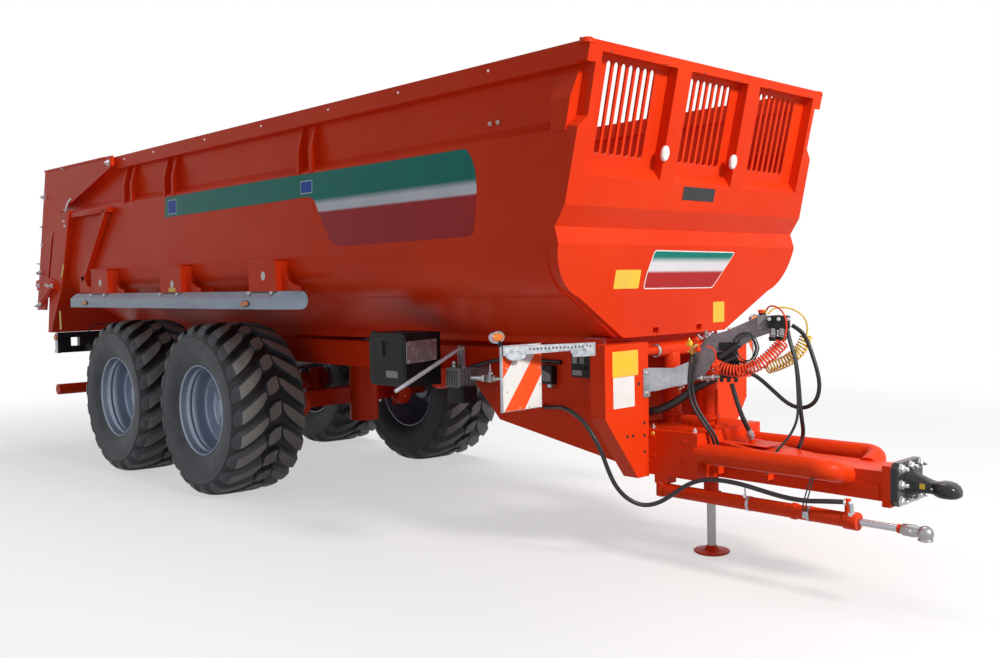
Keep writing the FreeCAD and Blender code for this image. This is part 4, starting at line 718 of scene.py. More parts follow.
def banded(name, green_low, white_high, white_low, crimson_high):
    """A film that runs from green through white to crimson, by height."""
    made = Finish(name, 0.34, coat=0.05, specular=0.12)
    height = made.node("SeparateXYZ", {"Vector": made.places}).outputs["Z"]
    share = made.node("MapRange", {"Value": height, "From Min": crimson_high, "From Max": green_low})
    span = green_low - crimson_high
    tones = made.ramp(share.outputs["Result"], (0.0, CRIMSON_TONE),
                      ((white_low - crimson_high) / span, WHITE_TONE),
                      ((white_high - crimson_high) / span, WHITE_TONE), (1.0, GREEN_TONE))
    cloudy = made.ramp(made.noise(3.0, 4), (0.3, grey(0.86)), (0.7, grey(1)))
    made.colour(made.mixed(1.0, tones, cloudy, "MULTIPLY"))
    made.roughness(made.noise(6, 4), 0.26, 0.42)
    return made.bump(made.noise(180, 2), 0.04, 0.0004).material


SIDE_BANDS = banded("side_bands", 2.105, 2.07, 2.03, 2.015)
FRONT_BANDS = banded("front_bands", 1.672, 1.64, 1.6, 1.585)
SIDE_FILM = mm(
    "-1444 2267, -1455 2125, 131 2131, 560 2136, 622 2132, 672 2105, 760 1965, 828 1868, 862 1830, "
    "925 1806, 1050 1803, 1622 1804, 2140 1807, 2172 1815, 2188 1900, 2200 2051, 2188 2146, 2160 2215, "
    "2118 2262, 1261 2264, 139 2271")
WALL_UP = Vector((0, WALL_HIGH[0] - WALL_LOW[0], WALL_HIGH[1] - WALL_LOW[1])).normalized()
WALL_FOOT = Vector((0, WALL_LOW[0], WALL_LOW[1]))


def on_side(outline):
    """Points (x, z) of the side wall as points of its plane, from its foot."""
    return [(x, (z - WALL_LOW[1]) / WALL_UP.z) for x, z in outline]


# The long banded film on both sides, with its pale edge and two blue squares.
with Piece("side_films", "load_body", "red_paint") as piece:
    out = X.cross(WALL_UP)
    edge = rounded(on_side(SIDE_FILM), 0.012, 3)
    piece.slab(edge, WALL_FOOT + out * 0.0002, X, WALL_UP, FILM_RISE, WHITE)
    piece.slab(shrunk(edge[::-1], 0.008), WALL_FOOT + out * 0.0006, X, WALL_UP, FILM_RISE, SIDE_BANDS)
    for corners in ("512 2154, 639 2228", "-1401 2141, -1265 2243"):
        square = on_side(oblong(corners))
        piece.slab(shrunk(square, -0.004), WALL_FOOT + out * 0.0009, X, WALL_UP, FILM_RISE, WHITE)
        piece.slab(square, WALL_FOOT + out * 0.0012, X, WALL_UP, FILM_RISE, BLUE)
    piece.mirror()

FRONT_FOOT = Vector((2.685, 0, 1.235))
FRONT_HEAD = Vector((3.012, 0, 2.692))
FRONT_UP = (FRONT_HEAD - FRONT_FOOT).normalized()
FRONT_OUT = Y.cross(FRONT_UP)


def on_front(outline):
    """Points (y, z) of the leaning front wall as points of its plane, from its foot."""
    return [(y, (z - FRONT_FOOT.z) / FRONT_UP.z) for y, z in outline]


def front_slab(piece, outline, lift, thick, material, lip=0.0):
    piece.slab(on_front(outline), FRONT_FOOT + FRONT_OUT * lift, Y, FRONT_UP, thick, material, lip)


# The banded film, two yellow labels, a plain dark plate and the caps on the front wall.
with Piece("front_films", "load_body", "red_paint") as piece:
    film = rounded("-337 1710, 446 1705, 401 1646, 272 1493, -385 1499, -379 1575", 0.02, 4)
    front_slab(piece, film, 0.0002, FILM_RISE, WHITE)
    front_slab(piece, shrunk(film[::-1], 0.006), 0.0006, FILM_RISE, FRONT_BANDS)
    front_slab(piece, oblong("-641 1504, -429 1604", 0.008), 0.0002, FILM_RISE, YELLOW)
    front_slab(piece, rounded("309 1410, 347 1286, 465 1286, 426 1410", 0.008), 0.0002, FILM_RISE, YELLOW)
    front_slab(piece, oblong("-172 1984, 128 2056", 0.006), 0.0002, 0.002, BLACK_PAINT, 0.0008)
    for middle in (-0.398, 0.245):
        front_slab(piece, oval((middle, 2.215), 0.03, 0.04, 24), 0.0, 0.018, WHITE, 0.006)

# ---------------------------------------------------------------- coupling spoon and steering rod
PLATE_REAR, PLATE_THICK = 4.011, 0.036
SPOON_PLATE = mm("-112 449, 112 449, 140 477, 140 630, 112 658, -112 658, -140 630, -140 477")
SPOON_RINGS = mm(
    "4046 484 622 56, 4060 490 612 50, 4085 500 598 45, 4115 507 586 41, 4150 510 574 38, 4168 508 571 40, "
    "4182 502 573 50, 4200 498 577 59, 4225 497 577 63, 4250 498 571 59, 4268 501 560 49, 4280 506 546 35, "
    "4286 513 533 18")
NUT_ROWS = mm("-105 632, 0 632, 105 632, -105 476, 0 476, 105 476, -105 554, 105 554")


def squircle(x, low, high, half, steps=28, fullness=0.62):
    """A rounded rectangle of points across the trailer at x."""
    ring = []
    for y, z in oval((0, 0), 1, 1, steps):
        ring.append(Vector((x, half * math.copysign(abs(y) ** fullness, y),
                            (low + high) / 2 + (high - low) / 2 * math.copysign(abs(z) ** fullness, z))))
    return ring


# The bolted coupling spoon: flange plate, tapering neck, rounded nose and eight nuts.
with Piece("spoon", "chassis", "black_steel", ["coupling_spoon"]) as piece:
    piece.front(SPOON_PLATE, PLATE_REAR, PLATE_THICK, BLACK_PAINT, 0.004)
    piece.loft([squircle(*ring) for ring in SPOON_RINGS], BLACK_PAINT)
    piece.nuts([(PLATE_REAR + PLATE_THICK, y, z) for y, z in NUT_ROWS], X, 0.04, 0.9)
    piece.slab(oblong("0 0, 26 26", 0.002, 2), "4108 -42.5 534", X, Z, LABEL_THICK, YELLOW)
    piece.nut("4166 -38.5 540", -Y, 0.012, 0.8)

RAM_Y, RAM_Z = -0.29, 0.392
RAM_GLAND, RAM_BALL = 3.93, 4.242

# The plated ram rod with its red ring, clamping sleeve and ball socket.
with Piece("steering_rod_end", "steering_rod", "chrome_rod", ["steering_rod"]) as piece:
    piece.bar((RAM_GLAND - 0.16, RAM_Y, RAM_Z), (4.122, RAM_Y, RAM_Z), 0.017, CHROME, 32, 0.001)
    piece.turned("0 0, 0 21, 16 21, 16 0", (4.117, RAM_Y, RAM_Z), X, RED, 32)
    piece.turned("0 0, 0 21, 10 27.5, 58 28.5, 70 26, 88 22, 88 0", (4.133, RAM_Y, RAM_Z), X, STEEL, 36)
    ball = [(-0.036 * math.cos(math.pi * i / 18), 0.036 * math.sin(math.pi * i / 18)) for i in range(19)]
    piece.turned(ball, (RAM_BALL, RAM_Y, RAM_Z - 0.004), X, STEEL, 40)
    piece.turned("0 30, 12 34, 16 28, 16 0", (RAM_BALL, RAM_Y, RAM_Z - 0.022), -Z, STEEL, 36)
    piece.nut((4.186, RAM_Y - 0.026, RAM_Z + 0.004), (0, -1, 0.2), 0.014, 0.9)

# The fittings on the steering ram: gland collar, rings, clips, elbow, thin hoses and pin washers.
with Piece("ram_fittings", "chassis", "zinc_steel") as piece:
    piece.turned("0 36.5, 0 41.5, 4 43, 66 43, 70 41, 70 20, 66 18.5", (RAM_GLAND - 0.07, RAM_Y, RAM_Z), X,
                 RED, 40)
    piece.turned("0 36.5, 0 41, 22 41, 22 36.5", (3.585, RAM_Y, RAM_Z), X, RED, 36)
    for x in (3.335, 3.672):
        piece.turned("0 36.2, 0 38.5, 16 38.5, 16 36.2", (x, RAM_Y, RAM_Z), X, ZINC, 36)
    piece.pipe("3343 -320 420, 3343 -334 444, 3343 -338 482, 3343 -336 500", 0.004, ZINC)
    piece.nut((3.343, RAM_Y - 0.05, RAM_Z + 0.05), (0, -1, 0.3), 0.018, 0.8)
    piece.pipe("3868 -312 481, 3882 -309 484, 3896 -307 478, 3900 -306 462, 3900 -304 425", 0.011, ZINC, 16)
    piece.nut("3900 -305 420", Z, 0.036, 0)
    piece.nut("3866 -312 481", X, 0.032, 0, washer=False)
    for shift in (0.0, 0.016):
        piece.pipe([(x + shift, y, z) for x, y, z in mm(
            "3664 -327 390, 3667 -345 440, 3680 -330 500, 3690 -316 560, 3700 -290 602")], 0.0035, HOSE, 8)
    piece.slab(oblong("0 0, 30 34", 0.004, 3), "3662 -329.5 376", X, Z, 0.01, ZINC, 0.002)
    for low_z in (RAM_Z - 0.042, RAM_Z + 0.034):
        piece.turned("0 0, 0 22, 6 24, 8 20, 8 0", (2.79, RAM_Y, low_z), Z, BOLT_ZINC, 28)

# ---------------------------------------------------------------- parking jack
JACK_X = 2.91

# The jack's plated leg and its dished red foot, and the rods beside its tube.
with Piece("jack_leg_shown", "jack_leg", "red_paint", ["jack_leg"]) as piece:
    piece.bar((JACK_X, 0, 0.012), (JACK_X, 0, 0.52), 0.0248, STEEL, 40, 0.001)
    piece.turned("0 0, 0 88, 6 99, 12 102, 16 99, 18 90, 22 50, 32 34, 42 29, 44 25.5", (JACK_X, 0, 0.0), Z,
                 RED, 56)
with Piece("jack_trim", "chassis", "red_paint") as trim:
    trim.bar("2962 -10 715", "2962 -10 935", 0.005, RED, 12)
    trim.pipe("2945 12 690, 2946 12 760, 2946 14 850, 2940 16 940", 0.0035, YELLOW_LINE, 10)
    trim.turned("0 42.5, 0 50, 4 53, 24 53, 28 50, 28 42.5", (JACK_X, 0, 0.76), Z, RED, 40)
    trim.turned("0 42.5, 0 56, 12 58, 16 56, 16 42.5", (JACK_X, 0, 0.334), Z, RED, 40)
    trim.nuts([(JACK_X + x, y, 1.034) for x, y in mm("-50 -50, 50 -50, 50 50, -50 50")], Z, 0.022)

# ---------------------------------------------------------------- hose holder
HOLDER_FOOT = Vector((2.715, -0.31, 0.0))
HOLDER_ALONG, HOLDER_ACROSS = Vector((0.8944, 0.4472, 0)), Vector((-0.4472, 0.8944, 0))
HOLDER_FLAT = 0.004
HOLDER_TAIL = mm("0 930, 41 934, 141 960, 228 978, 222 1097, 141 1063, 0 1062")
HOLDER_GUSSET = mm("228 978, 300 1008, 412 1180, 328 1243, 256 1144, 222 1097")
HOLDER_ARM = mm(
    "392 1150, 482 1168, 577 1227, 696 1269, 760 1275, 756 1330, 703 1352, 591 1340, 419 1263, 328 1243")


def at_holder(s, n, z):
    """A point of the model from its place along and across the holder's turned line."""
    return HOLDER_FOOT + s * HOLDER_ALONG + n * HOLDER_ACROSS + Vector((0, 0, z))


def holder_plate(piece, outline, n, thick, material, lip=0.0012):
    piece.slab(outline, at_holder(0, n, 0), HOLDER_ALONG, Z, thick, material, lip)


def coupler(piece, s, n, z, aim, finish, cap):
    """A quick coupling: threaded socket, knurled collar and a dust cap."""
    piece.turned("0 0, 0 15, 18 15, 20 19, 40 19, 43 16, 52 16, 52 0", at_holder(s, n, z), aim, finish, 20)
    piece.turned("48 0, 48 21, 52 23, 66 22, 70 17, 70 0", at_holder(s, n, z), aim, cap, 20)


# The hose holder: foot, gusset and arm plates, the coupling rack, hose clamp and taps.
with Piece("holder", "chassis", "zinc_steel", ["hose_holder"]) as piece:
    holder_plate(piece, HOLDER_TAIL, HOLDER_FLAT, 2 * HOLDER_FLAT, ZINC, 0)
    # The gusset and arm are zinc with painted shade and a painted reflection of the red paint.
    holder_plate(piece, HOLDER_GUSSET, HOLDER_FLAT, 2 * HOLDER_FLAT, SHADED_ZINC, 0)
    holder_plate(piece, rounded(HOLDER_ARM, 0.012, 3), HOLDER_FLAT + 0.001, 2 * HOLDER_FLAT, SHADED_ZINC)
    piece.front(oblong("-360 900, -304 1060", 0.008, 3), 2.715, 0.008, ZINC, 0.0015)
    piece.nuts("2723 -340 924, 2723 -340 1036", X, 0.024)
with Piece("coupling_rack", "chassis", "black_plastic") as rack:
    for corners, half, finish in (("588 1272, 640 1352", 0.024, CAST_GREY),
                                  ("648 1280, 756 1346", 0.046, PLASTIC)):
        holder_plate(rack, oblong(corners, 0.01, 3), half, 2 * half, finish, 0.003)
    for s, n in mm("672 -30, 716 -30, 672 30, 716 30"):
        coupler(rack, s, n, 1.284, -Z, STEEL, PLASTIC)
    for s, n, tint in ((0.61, -0.012, RED_LINE), (0.622, 0.012, YELLOW_LINE)):
        rack.bar(at_holder(s, n, 1.345), at_holder(s, n, 1.368), 0.012, PLASTIC, 16)
        rack.turned("0 0, 0 15, 12 17, 16 13, 16 0", at_holder(s, n, 1.362), (0.1, 0.0, 1), tint, 20)
    for s in (0.654, 0.702, 0.75):
        rack.nut(at_holder(s, -0.047, 1.33), -HOLDER_ACROSS, 0.016)
with Piece("hose_clamp", "chassis", "black_plastic") as clamp:
    for step in range(4):
        z = 1.01 + 0.05 * step
        shift = 0.012 * math.sin(2.1 * step)
        holder_plate(clamp, oblong(((0.386 + shift, z), (0.484 + shift, z + 0.044)), 0.012, 4),
                     0.06 - 0.004 * step, 0.064, PLASTIC, 0.005)
    for s in (0.398, 0.436, 0.474):
        clamp.bar(at_holder(s, 0.014, 0.988), at_holder(s, 0.022, 1.246), 0.011, HOSE, 16)
    clamp.bar(at_holder(0.39, -0.02, 1.12), at_holder(0.5, -0.024, 1.196), 0.018, HOSE, 18)
    clamp.bar(at_holder(0.396, -0.018, 1.086), at_holder(0.486, -0.02, 1.13), 0.013, HOSE, 18)
    for s, z in mm("420 1140, 466 1172"):
        clamp.nut(at_holder(s, -0.016, z), -HOLDER_ACROSS, 0.02)
with Piece("brake_taps", "chassis", "zinc_steel") as taps:
    valve_half = Vector((0.02, 0.014, 0))
    taps.block(at_holder(0.262, -0.04, 1.15) - valve_half, at_holder(0.262, -0.04, 1.2) + valve_half, BRASS,
               0.004)
    for s, n, z, aim, size, finish in (
            (0.32, -0.012, 1.232, Z, 0.03, STEEL), (0.3, -0.022, 1.222, (-0.5, -0.3, 0.6), 0.026, STEEL),
            (0.334, -0.01, 1.246, (0.6, 0.3, 0.4), 0.024, BOLT_ZINC), (0.25, -0.058, 1.16, -Y, 0.026, BRASS),
            (0.276, -0.06, 1.186, (0.3, -1, 0.2), 0.022, BRASS),
            (0.243, -0.048, 1.206, (-0.4, -0.2, 1), 0.02, BRASS)):
        taps.nut(at_holder(s, n, z), aim, size, 1.6, finish)
    for s, n, z, tint in ((0.282, -0.052, 1.216, RED_LINE), (0.248, -0.07, 1.196, YELLOW_LINE),
                          (0.292, -0.072, 1.166, RED_LINE)):
        taps.turned("0 0, 0 10, 4 16, 18 18, 24 12, 24 0", at_holder(s, n, z), (-0.2, -0.9, 0.5), tint, 18)
    taps.pipe([at_holder(0.25, -0.05, 1.15), at_holder(0.252, -0.05, 1.12), at_holder(0.246, -0.046, 1.095)],
              0.006, BRASS)
with Piece("hose_fittings", "chassis", "zinc_steel") as fittings:
    for s, n, z in mm("300 -10 1010, 330 6 1004, 360 -6 1014"):
        fittings.bar(at_holder(s - 0.03, n, z), at_holder(s + 0.034, n, z + 0.006), 0.011, STEEL, 16)
        fittings.nut(at_holder(s - 0.012, n, z), HOLDER_ALONG, 0.034, 0, washer=False)
    fittings.turned("0 0, 0 14, 20 14, 22 20, 46 20, 50 15, 64 15, 64 0", "3184 -12 668",
                    (-0.12, -0.35, 1.0), ZINC, 24)

# Thin cable that hangs in rigid loops under the holder's arm.
with Piece("cable_loops", "chassis", "hose_black") as piece:
    for turn, (reach, drop, n) in enumerate(mm("62 140 -20, 70 155 -12, 54 125 -28")):
        middle = 0.52 + 0.008 * turn
        piece.pipe([at_holder(middle + reach * math.cos(a), n + 0.008 * math.sin(2 * a),
                              1.175 + drop * 0.55 * math.sin(a))
                    for a in [math.tau * (i / 12) for i in range(13)]], 0.0036, HOSE, 8)

# ---------------------------------------------------------------- marker boards
BOARD_X, BOARD_OUT, BOARD_WIDE, BOARD_LOW, BOARD_HIGH = 2.445, -1.19, 0.305, 0.88, 1.225
BOARD_STRIPES = [([(0, 0.5), (0.48, 1), (0, 1)], BOARD_RED),
                 ([(0, 0), (0.03, 0), (0.97, 1), (0.48, 1), (0, 0.5)], WHITE),
                 ([(0.03, 0), (0.55, 0), (1, 0.52), (1, 1), (0.97, 1)], BOARD_RED),
                 ([(0.55, 0), (1, 0), (1, 0.52)], WHITE)]

# Striped boards on both sides, each on a zinc arm with a lamp above it; the arm's perforations are flat discs
# of painted shade.
with Piece("marker_boards_shown", "chassis", "marker_white", ["marker_boards"]) as piece:
    front = BOARD_X + 0.004
    piece.block((BOARD_X, BOARD_OUT, BOARD_LOW), (front, BOARD_OUT + BOARD_WIDE, BOARD_HIGH), ZINC, 0.001)
    low_y, low_z = BOARD_OUT + 0.016, BOARD_LOW + 0.004
    wide, high = BOARD_WIDE - 0.02, BOARD_HIGH - BOARD_LOW - 0.008
    for stripe, finish in BOARD_STRIPES:
        piece.front([(low_y + u * wide, low_z + v * high) for u, v in stripe], front, 0.0006, finish)
    piece.front(oblong(((BOARD_OUT, BOARD_LOW), (BOARD_OUT + 0.013, BOARD_HIGH))), front, 0.006, ZINC, 0.001)
    for u, v in ((0.1, 0.3), (0.1, 0.66), (0.95, 0.36), (0.95, 0.62), (0.42, 0.03), (0.66, 0.03),
                 (0.5, 0.93)):
        piece.turned(RIVET, (front, low_y + u * wide, low_z + v * high), X, BOLT_ZINC, 12)
    start, end = Vector((front + 0.01, BOARD_OUT + 0.012, 0)), Vector((2.652, -0.682, 0))
    along = (end - start).normalized()
    out = along.cross(Z)
    length = (end - start).length
    arm = [(0.0, 1.172), (length * 0.72, 1.184), (length * 0.75, 1.15), (length, 1.15), (length, 1.22),
           (0.0, 1.22)]
    piece.slab(arm, start, along, Z, 0.0025, ZINC, 0.0005)
    piece.slab(oblong(((0.0, 0.0), (length, 0.022))), start + Vector((0, 0, 1.22)), along, -out, 0.002, ZINC)
    # The perforations are flat discs of painted shade black on the arm's face, not holes.
    for step in range(17):
        s = 0.15 + (length - 0.18) * step / 16
        piece.slab(oval((s, 1.203), 0.005, 0.006, 10), start + out * 0.0026, along, Z, 0.0002, SHADE_BLACK)
    for s in (0.1, length - 0.06):
        piece.nut(start + along * s + out * 0.003 + Vector((0, 0, 1.19)), out, 0.024)
    piece.slab(oval((0.07, 1.172), 0.058, 0.026, 28), start + out * 0.003, along, Z, 0.006, ZINC, 0.003)
    lamp = Vector((BOARD_X - 0.002, BOARD_OUT - 0.016, BOARD_HIGH + 0.046))
    piece.bar((BOARD_X, BOARD_OUT + 0.012, BOARD_HIGH - 0.006), lamp, 0.012, PLASTIC, 18)
    for wide, high, rings, finish in (
            (0.052, 0.033, ((-0.014, 0.8), (-0.006, 0.98), (0.004, 1.0), (0.008, 0.94)), CHROME),
            (0.039, 0.022, ((0.004, 1.0), (0.01, 0.97), (0.015, 0.8), (0.017, 0.4)), AMBER)):
        piece.loft([[lamp + Vector((x, y, z)) for y, z in oval((0, 0), wide * k, high * k)]
                    for x, k in rings], finish)
    piece.mirror()

# ---------------------------------------------------------------- toolbox, hand pump, control boxes
DOOR_LOW, DOOR_HIGH = Vector((1.063, -1.0, 0.93)), Vector((1.429, -0.98, 1.255))
DOOR_FACE, COLUMN_FACE = -0.9994, 2.7151

# The moulded toolbox door with its latch, and the plate on the box's front end.
with Piece("toolbox_door_shown", "toolbox_door", "black_plastic", ["toolbox_door"]) as piece:
    outline = oblong(((DOOR_LOW.x, DOOR_LOW.z), (DOOR_HIGH.x, DOOR_HIGH.z)), 0.045, 6)
    piece.side(outline, DOOR_HIGH.y, 0.016, PLASTIC, 0.004)
    piece.side(oblong("1083 950, 1409 1235", 0.032, 6), DOOR_HIGH.y - 0.014, 0.0055, PLASTIC, 0.004)
    # The latch recess and the slot in its handle are thin sheets of painted shade black.
    piece.side(oblong("1161 1093, 1245 1217", 0.01, 3), DOOR_FACE, 0.0006, SHADE_BLACK)
    piece.side(oblong("1179 1109, 1227 1205", 0.008, 3), -0.996, 0.015, PLASTIC, 0.003)
    piece.side(oblong("1191 1125, 1215 1175", 0.005, 3), -1.0105, 0.002, SHADE_BLACK, 0.0006)
    piece.side(oblong("1238 982, 1352 1024", 0.004, 2), DOOR_FACE, LABEL_THICK, PALE_LABEL)
with Piece("toolbox_trim", "chassis", "black_plastic") as trim:
    trim.front(rounded("-990 1070, -752 1084, -752 1214, -990 1206", 0.008, 3), DOOR_HIGH.x, 0.003, ZINC,
               0.0008)
    for y, z in mm("-972 1090, -972 1190, -770 1100, -770 1198"):
        trim.turned(RIVET, (DOOR_HIGH.x + 0.003, y, z), X, BOLT_ZINC, 12)
    for x in (1.12, 1.372):
        trim.bar((x - 0.02, -0.99, 1.259), (x + 0.02, -0.99, 1.259), 0.006, PLASTIC, 14)
    for z in (1.01, 1.18):
        trim.block((DOOR_LOW.x + 0.06, -0.724, z - 0.025), (DOOR_HIGH.x - 0.06, -0.7, z + 0.025), BLACK_PAINT)

PUMP_REAR, PUMP_FRONT, PUMP_OUT, PUMP_IN = 1.49, 1.624, -0.75, -0.59
PUMP_MID = Vector(((PUMP_REAR + PUMP_FRONT) / 2, (PUMP_OUT + PUMP_IN) / 2, 0))

# The hand pump: black tank, ribbed casting, lever with its link, and its valves and pipes.
with Piece("hand_pump_shown", "chassis", "grey_steel", ["hand_pump"]) as piece:
    piece.top(oblong("1500 -740, 1641 -605", 0.022), 0.824, 0.098, PLASTIC, 0.004)
    body = oblong(((PUMP_REAR, PUMP_OUT + 0.008), (PUMP_FRONT - 0.006, PUMP_IN)), 0.014, 4)
    body_rings = ((0.918, 0.97), (0.922, 1.0), (0.96, 0.99), (1.02, 0.95), (1.032, 0.92), (1.035, 0.88))
    piece.loft([[Vector((PUMP_MID.x + (x - PUMP_MID.x) * k, PUMP_MID.y + (y - PUMP_MID.y) * k, z))
                 for x, y in body] for z, k in body_rings], CAST_GREY)
    for number in range(5):
        x = PUMP_REAR + 0.022 + 0.022 * number
        piece.block((x, PUMP_OUT + 0.001, 0.924), (x + 0.007, PUMP_OUT + 0.03, 1.02), CAST_GREY)
    for number in range(5):
        y = PUMP_OUT + 0.026 + 0.027 * number
        piece.block((PUMP_FRONT - 0.016, y, 0.926), (PUMP_FRONT, y + 0.007, 1.02), CAST_GREY)
    piece.block("1502 -592 968", "1598 -452 1032", CAST_GREY, 0.003)
    for x in (PUMP_REAR + 0.02, PUMP_FRONT - 0.024):
        piece.nut((x, PUMP_OUT + 0.03, 0.919), -Z, 0.016)
    piece.turned("0 0, 0 24, 18 24, 24 18, 40 16, 42 0", "1522 -690 1033", Z, STEEL, 24)
    for x in (1.582, 1.612):
        piece.block((x, -0.716, 1.032), (x + 0.009, -0.686, 1.174), ZINC)
    lever_top, lever_low = Vector((1.618, -0.72, 1.16)), Vector((1.501, -1.138, 0.924))
    piece.bar(lever_low, lever_top, 0.0125, ZINC, 24)
    piece.bar(lever_low.lerp(lever_top, 0.24), lever_low.lerp(lever_top, 0.262), 0.0132, CHROME, 24)
    piece.bar("1576 -704 1158", "1628 -704 1158", 0.009, BOLT_ZINC, 16)
    piece.pipe("1600 -700 1150, 1588 -690 1110, 1570 -690 1070, 1560 -690 1030", 0.007, ZINC)
with Piece("pump_valves", "chassis", "zinc_steel") as valves:
    valves.bar("1616 -640 972", "1712 -596 972", 0.016, ZINC, 18)
    valves.nut("1684 -608 972", (1, 0.45, 0), 0.042, 1.0)
    valves.block("1712 -622 950", "1772 -562 996", STEEL, 0.004)
    valves.nut("1742 -592 996", Z, 0.034, 1.2)
    valves.nut("1772 -592 972", X, 0.036, 1.2)
    valves.bar("1742 -600 1000", "1752 -604 1060", 0.006, CHROME, 12)
    valves.pipe("1790 -592 972, 1860 -570 975, 1960 -500 995, 2070 -470 1010", 0.01, ZINC)
    valves.pipe("1560 -610 1030, 1660 -510 1070, 1780 -474 1082, 1900 -463 1084, 2200 -463 1080", 0.012, HOSE)

# The two black control boxes on the right rail and the labels on the right column.
with Piece("control_boxes", "chassis", "black_plastic") as piece:
    piece.block("2316 -505 1004", "2458 -449 1142", PLASTIC, 0.008)
    piece.block("2328 -507.5 1082", "2365 -504 1132", PALE_LABEL, 0.001)
    piece.block("2328 -507.5 1016", "2402 -504 1046", PALE_LABEL, 0.001)
    piece.block("2380 -507 1082", "2418 -504 1126", CAST_GREY, 0.001)
    piece.nut("2428 -505 1062", -Y, 0.02, material=PLASTIC)
    piece.block("2058 -500 952", "2157 -449 1060", PLASTIC, 0.006)
    piece.side(rounded("2070 968, 2150 968, 2150 1012, 2070 1040", 0.008, 3), -0.499, 0.004, CAST_GREY, 0.001)
    piece.block("2120 -498 930", "2155 -462 953", ZINC, 0.003)
with Piece("column_labels", "chassis", "marker_white") as labels:
    for corners, finish in (("-618 1030, -400 1168", YELLOW), ("-614 861, -434 1028", WHITE)):
        labels.front(oblong(corners, 0.006, 3), COLUMN_FACE, LABEL_THICK, finish)
    # Six flat discs of painted shade black on the column's face.
    for y, z in mm("-396 980, -500 700, -450 700, -350 760, -350 690, -350 600"):
        labels.turned("0 0, 0 10, 0.6 10, 0.6 0", (COLUMN_FACE, y, z), X, SHADE_BLACK, 20)

# ---------------------------------------------------------------- fenders and their brackets
FENDER_REAR, FENDER_FRONT, FENDER_NOSE = -3.115, 0.335, 0.64
FENDER_OUT, FENDER_IN, FENDER_LOW, FENDER_BEVEL, FENDER_TOP = -1.25, -1.12, 1.4, 1.476, 1.52
FENDER_SHEET = 0.006
BRACKET_STARTS, BRACKET_LENGTH, BRACKET_FACE = (-0.015, -1.375, -2.735), 0.35, -1.2051

# Both fenders: a bevelled zinc channel with a rounded nose, turned-in lips and end plates.
with Piece("fenders_shown", "load_body", "zinc_steel", ["fenders"]) as piece:
    length = FENDER_FRONT - FENDER_REAR
    bevel_up = Vector((0, 0.056, FENDER_TOP - FENDER_BEVEL))
    piece.slab(oblong(((0, FENDER_LOW), (length, FENDER_BEVEL))), (FENDER_REAR, FENDER_OUT + FENDER_SHEET, 0),
               X, Z, FENDER_SHEET, FENDER_ZINC, 0.001)
    bevel_foot = (FENDER_REAR, FENDER_OUT + 0.003, FENDER_BEVEL - 0.004)
    piece.slab(oblong(((0, 0), (length, bevel_up.length))), bevel_foot, X, bevel_up, 0.004, FENDER_ZINC,
               0.001)
    piece.block((FENDER_REAR, FENDER_OUT + 0.054, FENDER_TOP - FENDER_SHEET),
                (FENDER_NOSE - 0.05, FENDER_IN, FENDER_TOP), FENDER_ZINC, 0.001)
    piece.block((FENDER_REAR, FENDER_OUT + 0.002, FENDER_LOW),
                (FENDER_FRONT, FENDER_OUT + 0.03, FENDER_LOW + 0.004), FENDER_ZINC)
    piece.front([(FENDER_OUT, FENDER_LOW), (FENDER_OUT, FENDER_BEVEL), (FENDER_OUT + 0.056, FENDER_TOP),
                 (FENDER_IN, FENDER_TOP), (FENDER_IN, FENDER_LOW)], FENDER_REAR, FENDER_SHEET, FENDER_ZINC)
    start, end = Vector((FENDER_FRONT, FENDER_OUT + 0.004, 0)), Vector((FENDER_NOSE, -1.156, 0))
    reach, along = (end - start).length, (end - start).normalized()
    middle, half = (FENDER_LOW + FENDER_TOP) / 2, (FENDER_TOP - FENDER_LOW) / 2
    nose = [(reach - half + half * math.sin(math.pi * i / 16), middle - half * math.cos(math.pi * i / 16))
            for i in range(17)]
    nose = [(0, FENDER_LOW)] + nose + [(0.07, FENDER_TOP), (0, FENDER_BEVEL)]
    piece.slab(nose, start, along, Z, 0.004, FENDER_ZINC, 0.001)
    piece.top([(FENDER_NOSE - 0.06, FENDER_IN), (FENDER_NOSE - 0.06, -1.18),
               (FENDER_FRONT, FENDER_OUT + 0.054), (FENDER_FRONT, FENDER_IN)],
              FENDER_TOP - FENDER_SHEET, FENDER_SHEET, FENDER_ZINC)
    for x in BRACKET_STARTS:
        for shift in (0.03, BRACKET_LENGTH - 0.03):
            piece.nut((x + shift, -1.222, FENDER_TOP - 0.014), (0, -0.6, 0.8), 0.022)
    for x, z in mm("-2774 1440, 7 1438"):
        for size_x, size_z, low, finish in ((0.058, 0.024, 0.006, BLACK_PAINT), (0.05, 0.018, 0.014, AMBER)):
            piece.side(oval((x, z), size_x, size_z), FENDER_OUT, low, finish, 0.004)
    piece.mirror()

# Curved gussets ahead of each fender bracket, and the plain labels on its outer face.
with Piece("bracket_trim", "load_body", "red_paint") as piece:
    for x, white_x, white_z in zip(BRACKET_STARTS, (0.175, -1.173, -2.543), (1.624, 1.583, 1.612)):
        front = x + BRACKET_LENGTH
        curve = [(front + 0.215 * (1 - math.cos(turn)), 1.552 + 0.168 * (1 - math.sin(turn)))
                 for turn in (math.pi / 2 * i / 10 for i in range(11))]
        for y in (-1.15, -1.04):
            piece.side([(front, FENDER_TOP), (front + 0.215, FENDER_TOP)] + curve[::-1], y, 0.008, RED, 0.001)
        piece.side(oval((white_x, white_z), 0.026, 0.03, 24), BRACKET_FACE, LABEL_THICK, WHITE)
        piece.block((x, -1.2065, 1.722), (front, -1.0, 1.734), RED)
    piece.side(oblong("-1232 1526, -1118 1556", 0.003, 2), BRACKET_FACE, LABEL_THICK, YELLOW)
    piece.mirror()

